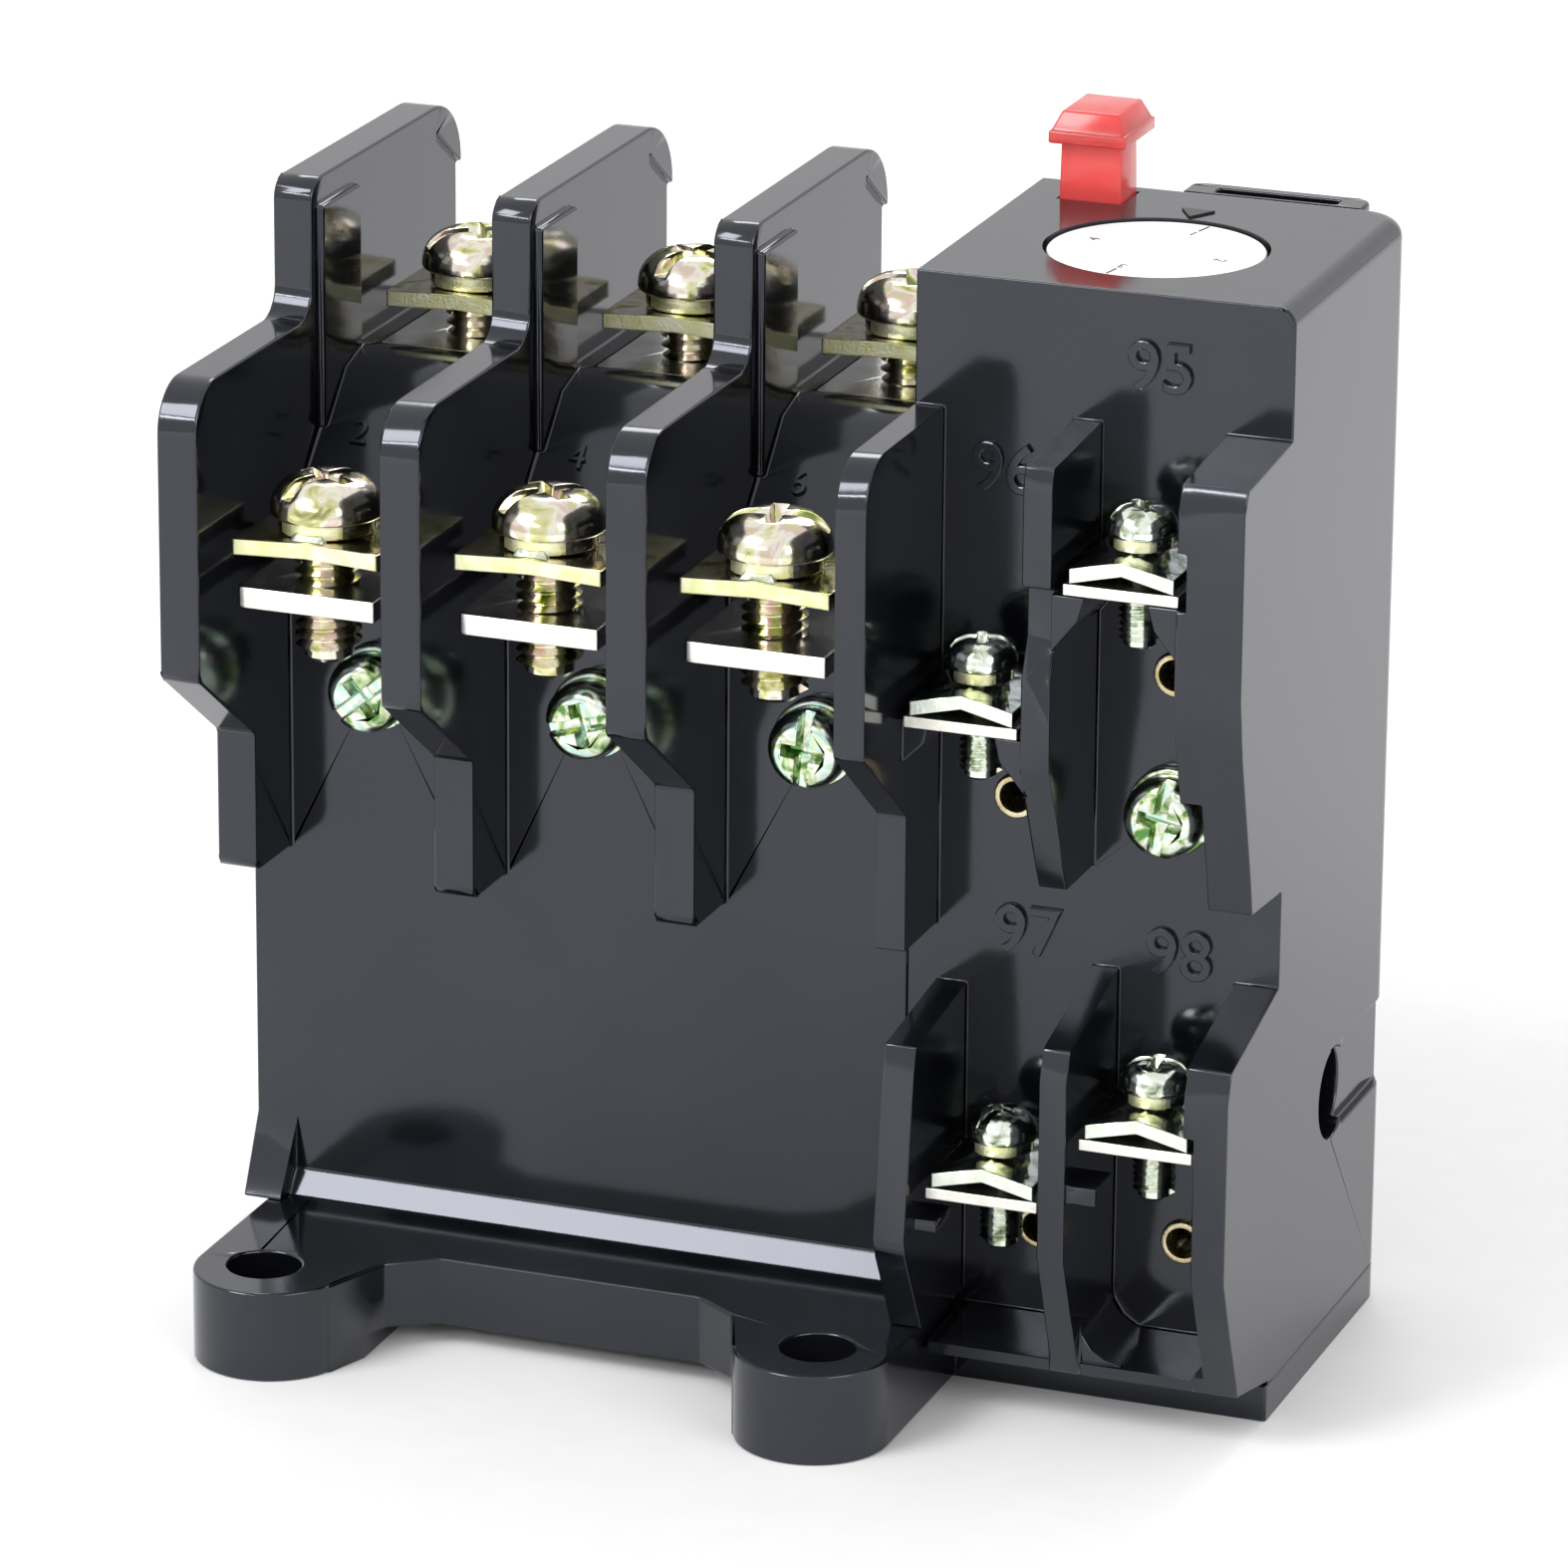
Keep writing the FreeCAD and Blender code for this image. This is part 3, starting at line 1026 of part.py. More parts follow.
def build():
    nodes = [main_case(), contact_case(), base_plate(), rear_cover()]
    nodes += main_terminals("load", s.bar_top, s.load_y, (0.0, 0.75, 1.0))
    nodes += main_terminals("line", s.ledge_top, s.line_y, (0.0, 0.1, 0.0))
    for pole in range(3):
        nodes += [load_bar(pole), line_bar(pole), bimetal_bracket(pole), bimetal(pole), heater(pole)]
    screws, washers = [], []
    for pole in range(3):
        x = bay_centre(pole)
        washers.append(laid(washer("panel_washer_piece", s.fixing_thread + 0.1, s.washer_radius,
                                   s.washer_thick), x, s.panel_y, s.fixing_z))
        screws.append(laid(screw("panel_screw_piece", s.fixing_thread, s.fixing_head, s.fixing_rise,
                                 s.washer_thick + s.panel_wall + s.bar_thick + 0.6),
                           x, s.panel_y - s.washer_thick, s.fixing_z))
    nodes += [group("heater_fixing_screws", screws), group("heater_fixing_washers", washers)]
    front_x, front_z = BLOCK_LEFT + s.front_screw_x, s.front_screw_z
    nodes.append(laid(washer("front_lock_washer", s.fixing_thread + 0.1, s.washer_radius, s.washer_thick, 0.5),
                      front_x, s.panel_y, front_z))
    nodes.append(laid(screw("front_screw", s.fixing_thread, s.fixing_head, s.fixing_rise,
                            s.washer_thick + s.panel_wall - 0.2),
                      front_x, s.panel_y - s.washer_thick, front_z))
    saddles, locks, small, rivets = [], [], [], []
    for code, (centre, plate_top, rivet_x, rivet_z) in terminals().items():
        nodes.append(aux_terminal(code, centre, plate_top, rivet_x, rivet_z))
        roof = saddle("roof_piece_%d" % code, s.roof_width, 8.0, s.roof_thick, s.roof_rise, s.aux_thread + 0.2)
        place(roof, centre, s.aux_y, plate_top)
        ring = washer("lock_piece_%d" % code, s.aux_thread + 0.1, s.aux_thread + 0.75, s.aux_lock, 0.4)
        place(ring, centre, s.aux_y, plate_top + s.roof_rise + s.roof_thick)
        bolt = screw("screw_piece_%d" % code, s.aux_thread, s.aux_head, s.aux_rise, s.aux_length, 0.7)
        place(bolt, centre, s.aux_y, plate_top + s.roof_rise + s.roof_thick + s.aux_lock)
        saddles.append(roof)
        locks.append(ring)
        small.append(bolt)
        rivets.append(rivet(code, rivet_x, rivet_z))
    nodes += [group("aux_saddles", saddles), group("aux_lock_washers", locks),
              group("aux_screws", small), group("aux_rivets", rivets)]
    nodes += fixed_contacts()
    nodes += [contact_arm(), contact_bridges(), snap_spring(), setting_lever(), compensating_strip(),
              trip_slider(), cam(), setting_dial(), dial_clip(), reset_button(), reset_plunger(), reset_spring()]
    pins = [pivot_pin("lever_pin", s.lever_pivot_x, s.lever_pivot_z, INNER_FRONT - 1.2, COVER_FRONT + 0.7, s.pin_radius),
            pivot_pin("arm_pin", s.arm_pivot_x, s.arm_pivot_z, INNER_FRONT - 1.2, COVER_FRONT + 0.7, s.pin_radius)]
    nodes.append(group("pivot_pins", pins))
    nodes.append(pivot_pin("compensator_pin", s.strip_pivot_x, s.strip_pivot_z, s.lever_y,
                           s.lever_y + s.lever_width, s.small_pin))
    base = []
    for index, (x, y) in enumerate(base_screw_places()):
        seat = s.base_top - 3.0 if index < 4 else s.block_bottom - 1.2
        bolt = screw("base_screw_piece", s.self_tap, 2.2, 1.1, 9.0 if index < 4 else 7.5, 0.6, False)
        bolt.Placement = FreeCAD.Placement(Vector(0, 0, 0), FreeCAD.Rotation(Vector(1, 0, 0), 180))
        place(bolt, x, y, seat)
        base.append(bolt)
    nodes.append(group("base_screws", base))
    cover = []
    for x, z in cover_screw_places():
        bolt = screw("cover_screw_piece", s.self_tap, 2.2, 1.2, 6.5, 0.6, False)
        bolt.Placement = FreeCAD.Placement(Vector(0, 0, 0), FreeCAD.Rotation(Vector(1, 0, 0), -90))
        place(bolt, x, s.block_back, z)
        cover.append(bolt)
    nodes.append(group("rear_cover_screws", cover))
    return nodes


nodes = build()
doc.recompute()
faults = []
for item in doc.Objects:
    if "Invalid" in item.State or "Error" in item.State:
        owner = item.getParentGeoFeatureGroup()
        faults.append("%s in %s is %s" % (item.Label, owner.Label if owner else "the document", item.State))
for node in nodes:
    if node.Shape.isNull() or not node.Shape.isValid():
        faults.append("%s has no sound shape" % node.Label)
if faults:
    raise RuntimeError("; ".join(faults))
os.makedirs("parts", exist_ok=True)
for node in nodes:
    node.Shape.exportStep("parts/%s.step" % node.Label)
print("%d nodes written" % len(nodes))
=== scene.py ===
import json
import math

import bmesh
import bpy
from mathutils import Matrix, Vector
from mathutils.bvhtree import BVHTree


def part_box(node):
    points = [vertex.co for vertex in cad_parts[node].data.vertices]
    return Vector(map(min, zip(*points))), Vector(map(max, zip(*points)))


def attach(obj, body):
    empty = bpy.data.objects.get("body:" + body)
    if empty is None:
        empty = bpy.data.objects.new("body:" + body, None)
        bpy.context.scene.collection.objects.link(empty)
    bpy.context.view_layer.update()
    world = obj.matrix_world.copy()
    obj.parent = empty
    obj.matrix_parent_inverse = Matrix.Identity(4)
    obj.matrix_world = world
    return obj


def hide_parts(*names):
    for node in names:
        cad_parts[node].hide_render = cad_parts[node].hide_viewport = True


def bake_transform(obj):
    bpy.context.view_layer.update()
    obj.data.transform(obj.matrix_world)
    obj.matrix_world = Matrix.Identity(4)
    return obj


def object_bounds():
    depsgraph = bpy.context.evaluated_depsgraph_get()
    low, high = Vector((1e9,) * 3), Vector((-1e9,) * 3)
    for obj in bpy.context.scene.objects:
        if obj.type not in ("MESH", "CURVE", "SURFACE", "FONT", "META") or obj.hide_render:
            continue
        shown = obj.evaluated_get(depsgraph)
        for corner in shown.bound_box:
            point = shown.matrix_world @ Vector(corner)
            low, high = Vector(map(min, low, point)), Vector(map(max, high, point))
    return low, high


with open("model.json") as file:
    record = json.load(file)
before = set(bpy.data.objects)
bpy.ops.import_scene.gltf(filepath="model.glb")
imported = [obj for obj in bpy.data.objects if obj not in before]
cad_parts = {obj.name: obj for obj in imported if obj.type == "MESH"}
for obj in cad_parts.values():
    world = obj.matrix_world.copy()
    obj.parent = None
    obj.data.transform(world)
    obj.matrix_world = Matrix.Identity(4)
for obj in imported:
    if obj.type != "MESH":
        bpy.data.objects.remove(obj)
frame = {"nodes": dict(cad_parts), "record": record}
cadLow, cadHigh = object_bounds()
mm = 0.001
print("frame loaded:", len(frame["nodes"]), "nodes")


def deselectAll():
    if bpy.context.object and bpy.context.object.mode != "OBJECT":
        bpy.ops.object.mode_set(mode="OBJECT")
    bpy.ops.object.select_all(action="DESELECT")


def pick(obj):
    deselectAll()
    obj.select_set(True)
    bpy.context.view_layer.objects.active = obj


def applyAll(obj):
    pick(obj)
    for modifier in list(obj.modifiers):
        bpy.ops.object.modifier_apply(modifier=modifier.name)


def selectEdges(obj, wanted):
    # picks edges by their two end points, in the object's own space
    pick(obj)
    bpy.ops.object.mode_set(mode="EDIT")
    bpy.ops.mesh.select_mode(type="EDGE")
    bpy.ops.mesh.select_all(action="DESELECT")
    mesh = bmesh.from_edit_mesh(obj.data)
    for edge in mesh.edges:
        if wanted(edge.verts[0].co, edge.verts[1].co):
            edge.select_set(True)
    mesh.select_flush_mode()
    bmesh.update_edit_mesh(obj.data)


def selectFaces(obj, wanted):
    # picks faces by their normal and middle
    pick(obj)
    bpy.ops.object.mode_set(mode="EDIT")
    bpy.ops.mesh.select_mode(type="FACE")
    bpy.ops.mesh.select_all(action="DESELECT")
    mesh = bmesh.from_edit_mesh(obj.data)
    for face in mesh.faces:
        if wanted(face.normal, face.calc_center_median()):
            face.select_set(True)
    bmesh.update_edit_mesh(obj.data)


def copyOf(obj, name):
    twin = obj.copy()
    twin.data = obj.data.copy()
    twin.name = name
    for key in list(twin.keys()):
        del twin[key]
    twin.parent = None
    bpy.context.scene.collection.objects.link(twin)
    return twin


def moveMesh(obj, place, turn=(0, 0, 0)):
    # puts a piece made at the origin in its place, and leaves that place in its mesh
    pick(obj)
    obj.rotation_euler = turn
    obj.location = place
    bpy.ops.object.transform_apply(location=True, rotation=True, scale=True)


def joinAll(pieces, name):
    deselectAll()
    for piece in pieces:
        piece.select_set(True)
    bpy.context.view_layer.objects.active = pieces[0]
    bpy.ops.object.join()
    pieces[0].name = name
    return pieces[0]


def smooth(obj, degrees=35):
    pick(obj)
    bpy.ops.object.shade_smooth_by_angle(angle=math.radians(degrees))


def paint(obj, material):
    obj.data.materials.clear()
    obj.data.materials.append(material)


def solidBoxes(node):
    # the box of each loose solid of a node, from left to right
    mesh = bmesh.new()
    mesh.from_mesh(frame["nodes"][node].data)
    bmesh.ops.remove_doubles(mesh, verts=mesh.verts[:], dist=0.001 * mm)
    found, seen = [], set()
    for start in mesh.verts:
        if start in seen:
            continue
        stack, group = [start], []
        seen.add(start)
        while stack:
            vert = stack.pop()
            group.append(vert.co.copy())
            for edge in vert.link_edges:
                other = edge.other_vert(vert)
                if other not in seen:
                    seen.add(other)
                    stack.append(other)
        low = Vector([min(point[k] for point in group) for k in range(3)])
        high = Vector([max(point[k] for point in group) for k in range(3)])
        found.append((low, high))
    mesh.free()
    return sorted(found, key=lambda pair: pair[0].x + pair[1].x)


def linear(hexColour):
    # an sRGB hex colour as linear light
    parts = [int(hexColour[k:k + 2], 16) / 255 for k in (1, 3, 5)]
    return [p / 12.92 if p <= 0.04045 else ((p + 0.055) / 1.055) ** 2.4 for p in parts] + [1.0]


def addNode(tree, kind, links=(), **settings):
    # one node with its socket values, properties and incoming links
    node = tree.nodes.new(kind)
    for key, value in settings.items():
        if key.startswith("in_"):
            name = key[3:]
            node.inputs[int(name) if name.isdigit() else name.replace("_", " ")].default_value = value
        else:
            setattr(node, key, value)
    for target, source in links:
        tree.links.new(source, node.inputs[target])
    return node


def setRamp(node, stops):
    ramp = node.color_ramp
    while len(ramp.elements) < len(stops):
        ramp.elements.new(0.5)
    for element, (place, colour) in zip(ramp.elements, stops):
        element.position = place
        element.color = linear(colour)
    return node


def newMaterial(name):
    material = bpy.data.materials.new(name)
    material.use_nodes = True
    tree = material.node_tree
    shader = tree.nodes["Principled BSDF"]
    spot = addNode(tree, "ShaderNodeTexCoord")
    return material, tree, shader, spot.outputs["Object"]


def addBump(tree, shader, heights, distance, strength):
    # heights is a list of (texture output, share); their sum drives one bump
    total = None
    for output, share in heights:
        scaled = addNode(tree, "ShaderNodeMath", [(0, output)], operation="MULTIPLY", in_1=share)
        total = scaled.outputs[0] if total is None else addNode(
            tree, "ShaderNodeMath", [(0, total), (1, scaled.outputs[0])], operation="ADD").outputs[0]
    bump = addNode(tree, "ShaderNodeBump", [("Height", total)], in_Distance=distance, in_Strength=strength)
    tree.links.new(bump.outputs["Normal"], shader.inputs["Normal"])


phenolicSettings = dict(
    dark="#0a0b0e", light="#15161b", cloudMm=9.0, grainMm=0.35, flowMm=3.2,
    roughLow=0.08, roughHigh=0.16, bumpMm=0.010, sheen="#ecf0fd", ior=1.64)


def blackPhenolic():
    # glossy black phenolic, compression moulded: a deep, slightly blue gloss with faint clouds
    # and flow marks; the filler's grain is drawn coarser than it is, so that it shows at all
    s = phenolicSettings
    material, tree, shader, place = newMaterial("blackPhenolic")
    cloud = addNode(tree, "ShaderNodeTexNoise", [("Vector", place)],
                    in_Scale=1 / (s["cloudMm"] * mm), in_Detail=5.0)
    grain = addNode(tree, "ShaderNodeTexNoise", [("Vector", place)],
                    in_Scale=1 / (s["grainMm"] * mm), in_Detail=2.0)
    flow = addNode(tree, "ShaderNodeTexNoise", [("Vector", place)], in_Scale=1 / (s["flowMm"] * mm),
                   in_Detail=3.0, in_Distortion=1.2)
    tone = setRamp(addNode(tree, "ShaderNodeValToRGB", [("Fac", cloud.outputs["Fac"])]),
                   [(0.3, s["dark"]), (0.75, s["light"])])
    rough = addNode(tree, "ShaderNodeMapRange", [("Value", cloud.outputs["Fac"])],
                    in_3=s["roughLow"], in_4=s["roughHigh"])
    tree.links.new(tone.outputs["Color"], shader.inputs["Base Color"])
    tree.links.new(rough.outputs["Result"], shader.inputs["Roughness"])
    shader.inputs["IOR"].default_value = s["ior"]
    shader.inputs["Specular Tint"].default_value = linear(s["sheen"])
    addBump(tree, shader, [(flow.outputs["Fac"], 0.8), (grain.outputs["Fac"], 0.2)],
            s["bumpMm"] * mm, strength=0.6)
    return material


zincSettings = dict(
    stops=[(0.32, "#7f8a4e"), (0.42, "#d3cf98"), (0.52, "#eeebdc"), (0.62, "#d9c2b8"),
           (0.72, "#c3cf8e")],
    cloudMm=2.2, scratchMm=0.12, roughLow=0.08, roughHigh=0.22, bumpMm=0.012)


def yellowZinc():
    # zinc plate with yellow chromate: bright metal under a green and gold film that drifts to
    # pink; the scratches of the tumbler are drawn at 0.12 mm, as wide as they need to show
    s = zincSettings
    material, tree, shader, place = newMaterial("yellowZinc")
    cloud = addNode(tree, "ShaderNodeTexNoise", [("Vector", place)], in_Scale=1 / (s["cloudMm"] * mm),
                    in_Detail=3.0, in_Distortion=0.8)
    scratch = addNode(tree, "ShaderNodeTexNoise", [("Vector", place)], in_Scale=1 / (s["scratchMm"] * mm),
                      in_Detail=2.0)
    film = setRamp(addNode(tree, "ShaderNodeValToRGB", [("Fac", cloud.outputs["Fac"])]), s["stops"])
    rough = addNode(tree, "ShaderNodeMapRange", [("Value", scratch.outputs["Fac"])],
                    in_3=s["roughLow"], in_4=s["roughHigh"])
    tree.links.new(film.outputs["Color"], shader.inputs["Base Color"])
    tree.links.new(rough.outputs["Result"], shader.inputs["Roughness"])
    shader.inputs["Metallic"].default_value = 1.0
    addBump(tree, shader, [(cloud.outputs["Fac"], 0.7), (scratch.outputs["Fac"], 0.3)],
            s["bumpMm"] * mm, strength=0.5)
    return material


paleZincSettings = dict(
    stops=[(0.34, "#5c8a49"), (0.44, "#c3d3a6"), (0.52, "#eceee2"), (0.62, "#bfe2d6"),
           (0.74, "#dcd992")],
    cloudMm=1.5, scratchMm=0.12, roughLow=0.10, roughHigh=0.28, bumpMm=0.02)


clearZincSettings = dict(
    stops=[(0.30, "#6f7a62"), (0.42, "#c9d4bd"), (0.52, "#f3f5ee"), (0.64, "#dfe8da"),
           (0.76, "#d8d2a8")],
    cloudMm=1.3, scratchMm=0.12, roughLow=0.07, roughHigh=0.20, bumpMm=0.015)


def paleZinc(name, s):
    # zinc plate with a thin chromate film: silver with green and straw patches on the panel's
    # screws, and nearly plain silver where the film is clearer
    material, tree, shader, place = newMaterial(name)
    cloud = addNode(tree, "ShaderNodeTexNoise", [("Vector", place)], in_Scale=1 / (s["cloudMm"] * mm),
                    in_Detail=2.5, in_Distortion=1.0)
    scratch = addNode(tree, "ShaderNodeTexNoise", [("Vector", place)], in_Scale=1 / (s["scratchMm"] * mm))
    film = setRamp(addNode(tree, "ShaderNodeValToRGB", [("Fac", cloud.outputs["Fac"])]), s["stops"])
    rough = addNode(tree, "ShaderNodeMapRange", [("Value", scratch.outputs["Fac"])],
                    in_3=s["roughLow"], in_4=s["roughHigh"])
    tree.links.new(film.outputs["Color"], shader.inputs["Base Color"])
    tree.links.new(rough.outputs["Result"], shader.inputs["Roughness"])
    shader.inputs["Metallic"].default_value = 1.0
    addBump(tree, shader, [(cloud.outputs["Fac"], 1.0)], s["bumpMm"] * mm, strength=0.5)
    return material


plateSpeckleMm = 0.18


def platedMetal(name, low, high, cloudMm, roughLow, roughHigh, bumpMm):
    # a white or straw plate over copper or brass, with a fine speckle from the tumbler
    material, tree, shader, place = newMaterial(name)
    cloud = addNode(tree, "ShaderNodeTexNoise", [("Vector", place)],
                    in_Scale=1 / (cloudMm * mm), in_Detail=4.0)
    speckle = addNode(tree, "ShaderNodeTexNoise", [("Vector", place)],
                      in_Scale=1 / (plateSpeckleMm * mm), in_Detail=2.0)
    tone = setRamp(addNode(tree, "ShaderNodeValToRGB", [("Fac", cloud.outputs["Fac"])]),
                   [(0.35, low), (0.7, high)])
    rough = addNode(tree, "ShaderNodeMapRange", [("Value", speckle.outputs["Fac"])],
                    in_3=roughLow, in_4=roughHigh)
    tree.links.new(tone.outputs["Color"], shader.inputs["Base Color"])
    tree.links.new(rough.outputs["Result"], shader.inputs["Roughness"])
    shader.inputs["Metallic"].default_value = 1.0
    addBump(tree, shader, [(speckle.outputs["Fac"], 1.0)], bumpMm * mm, strength=0.6)
    return material


plasticSettings = dict(cloudMm=5, grainMm=0.25, bumpMm=0.006)


def mouldedPlastic(name, low, high, roughLow, roughHigh, ior=1.5):
    # plain moulded plastic with a faint drift in tone and a fine spark-eroded grain
    s = plasticSettings
    material, tree, shader, place = newMaterial(name)
    cloud = addNode(tree, "ShaderNodeTexNoise", [("Vector", place)],
                    in_Scale=1 / (s["cloudMm"] * mm), in_Detail=3.0)
    grain = addNode(tree, "ShaderNodeTexNoise", [("Vector", place)], in_Scale=1 / (s["grainMm"] * mm))
    tone = setRamp(addNode(tree, "ShaderNodeValToRGB", [("Fac", cloud.outputs["Fac"])]),
                   [(0.3, low), (0.7, high)])
    rough = addNode(tree, "ShaderNodeMapRange", [("Value", cloud.outputs["Fac"])],
                    in_3=roughLow, in_4=roughHigh)
    tree.links.new(tone.outputs["Color"], shader.inputs["Base Color"])
    tree.links.new(rough.outputs["Result"], shader.inputs["Roughness"])
    shader.inputs["IOR"].default_value = ior
    addBump(tree, shader, [(grain.outputs["Fac"], 1.0)], s["bumpMm"] * mm, strength=0.4)
    return material


acrylicSettings = dict(glow=0.55, glowRadius=(1.0, 0.35, 0.3), glowMm=2.2, clear=0.35, ior=1.49)


def redAcrylic():
    # clear red acrylic: light comes in through the cap and glows in the stem
    s = acrylicSettings
    material = mouldedPlastic("redAcrylic", "#f4403f", "#ff6a66", 0.12, 0.2, s["ior"])
    shader = material.node_tree.nodes["Principled BSDF"]
    shader.inputs["Subsurface Weight"].default_value = s["glow"]
    shader.inputs["Subsurface Radius"].default_value = s["glowRadius"]
    shader.inputs["Subsurface Scale"].default_value = s["glowMm"] * mm
    shader.inputs["Transmission Weight"].default_value = s["clear"]
    return material


phenolic = blackPhenolic()
zincYellow = yellowZinc()
zincPale = paleZinc("paleZinc", paleZincSettings)
zincClear = paleZinc("clearZinc", clearZincSettings)
# plated metals: name, dark and light tone, cloud in mm, roughness from and to, bump in mm
# moulded plastics: name, dark and light tone, roughness from and to
finishes = {
    "black_moulding": phenolic,
    "base_moulding": phenolic,
    "yellow_zinc": zincYellow,
    "panel_screw_zinc": zincPale,
    # punched copper, hot tinned: pale grey with a soft mirror
    "tinned_copper": platedMetal("tinnedCopper", "#c9c8c4", "#e9e8e4", 2.5, 0.12, 0.24, 0.015),
    # brass with a thin coat of silver: as bright, and a little warmer
    "silvered_plate": platedMetal("silveredBrass", "#cfcdc2", "#efeee6", 1.8, 0.14, 0.28, 0.015),
    # rolled brass: straw yellow and satin
    "rivet_metal": platedMetal("rolledBrass", "#b9a878", "#e6dcbd", 1.2, 0.2, 0.35, 0.02),
    # rolled bimetal strip: a dull, warm grey
    "bimetal_steel": platedMetal("rolledBimetal", "#8d8a84", "#aaa69d", 3.0, 0.3, 0.45, 0.02),
    # drawn steel wire and strip: an even grey with a satin gleam
    "steel": platedMetal("drawnSteel", "#9c9c9c", "#bcbcba", 2.0, 0.2, 0.35, 0.02),
    # natural nylon, moulded: cream and half matt
    "inner_plastic": mouldedPlastic("innerNylon", "#b8b29c", "#cbc5b0", 0.4, 0.5),
    # white urea, moulded: dense and half matt
    "white_dial": mouldedPlastic("whiteUrea", "#f3f3f0", "#fbfbf9", 0.42, 0.5),
    "red_button": redAcrylic(),
}
# the fronts of the punched pieces, torn by the shears: almost matt, and very pale as painted light where
# they face the lamps
litCutFaces = {
    "yellow_zinc": platedMetal("shearedZincLitFront", "#dfe0a4", "#f4f3da", 1.3, 0.34, 0.5, 0.04),
    "tinned_copper": platedMetal("shearedTinLitFront", "#efece6", "#fffdf8", 0.9, 0.4, 0.6, 0.05),
    "silvered_plate": platedMetal("shearedSilverLitFront", "#ebe9de", "#fdfcf4", 0.9, 0.4, 0.55, 0.04),
}
# the small terminals have a clearer film than their slot's
ownFinish = {"aux_saddles": zincClear, "aux_screws": zincClear, "aux_lock_washers": zincClear}
# the small saddles' front faces, painted very pale as light where they face the lamps
ownLitCutFace = {"aux_saddles": platedMetal("shearedClearZincLitFront", "#e3ecdc", "#fbfdf6", 0.9, 0.34, 0.5, 0.04)}
# pad printing ink: flat black
inkBlack = mouldedPlastic("padPrintInk", "#101012", "#1c1c20", 0.5, 0.6)
print("materials made")

slotOf = {part["node"]: part["material_slot"] for part in frame["record"]["subparts"]}
bodyOf = {node: name for name, nodes in frame["record"]["behaviour"]["bodies"].items() for node in nodes}
for node, obj in frame["nodes"].items():
    paint(obj, ownFinish.get(node, finishes[slotOf[node]]))


def seat(piece, *nodes):
    # the piece stands for these CAD nodes, on their body and with their finish
    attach(piece, bodyOf[nodes[0]])
    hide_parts(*nodes)
    paint(piece, ownFinish.get(nodes[0], finishes[slotOf[nodes[0]]]))


def setOn(piece, node, material):
    # a mark or a small form that is fixed to this node
    paint(piece, material)
    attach(piece, bodyOf[node])


# how wide each piece's rounded edges are
roundedMm = {
    "main_case": 0.19, "contact_case": 0.14, "base_plate": 0.18, "rear_cover": 0.2,
    "load_bar_1": 0.14, "load_bar_2": 0.14, "load_bar_3": 0.14,
    "line_bar_1": 0.14, "line_bar_2": 0.14, "line_bar_3": 0.14,
    "terminal_plate_95": 0.1, "terminal_plate_96": 0.1, "terminal_plate_97": 0.1, "terminal_plate_98": 0.1,
    "aux_saddles": 0.1, "load_saddles": 0.16, "line_saddles": 0.16,
    "load_lock_washers": 0.12, "line_lock_washers": 0.12, "aux_lock_washers": 0.1,
    "heater_fixing_washers": 0.1, "front_lock_washer": 0.1, "aux_rivets": 0.08,
}
roundingSettings = dict(
    segments=2, weldMm=0.002, flatDegrees=0.5, sharpDegrees=32, smoothDegrees=50, flatWeight=90,
    seatedMm=0.35, panelMm=14.2,  # crisp openings reach this far round a piece, behind the panel
    strayShare=0.45, barStrayMm=0.3, nearMm=0.05,  # how far a rounded point may leave the CAD surface
    turnedOver=-0.4, frontNormal=-0.75,  # directions past which a face is turned over, or is a front
    barCornerMm=0.8, barCornerSegments=5)


def flatShaded(obj):
    # smooth over the rounded edges, while the large faces keep their own direction
    smooth(obj, roundingSettings["smoothDegrees"])
    weighted = obj.modifiers.new("weighted", "WEIGHTED_NORMAL")
    weighted.weight = roundingSettings["flatWeight"]
    weighted.keep_sharp = True
    weighted.use_face_influence = True
    applyAll(obj)


def mendRounding(piece, original, reach):
    # where rounded edges meet at a sharp corner a point can shoot out and turn a face over:
    # the point goes back to the CAD surface, and the face looks outwards again
    cad = bmesh.new()
    cad.from_mesh(original.data)
    surface = BVHTree.FromBMesh(cad)
    low = [min(vert.co[k] for vert in cad.verts) for k in range(3)]
    high = [max(vert.co[k] for vert in cad.verts) for k in range(3)]
    cad.free()
    mesh = bmesh.new()
    mesh.from_mesh(piece.data)
    for vert in mesh.verts:
        spot, _, _, gap = surface.find_nearest(vert.co)
        if gap > reach or any(not low[k] <= vert.co[k] <= high[k] for k in range(3)):
            vert.co = spot
    bmesh.ops.triangulate(mesh, faces=[face for face in mesh.faces if len(face.verts) > 4])
    mesh.normal_update()
    for face in mesh.faces:
        _, outwards, _, gap = surface.find_nearest(face.calc_center_median())
        near = gap < roundingSettings["nearMm"] * mm
        if near and face.normal.dot(outwards) < roundingSettings["turnedOver"]:
            face.normal_flip()
    mesh.to_mesh(piece.data)
    mesh.free()


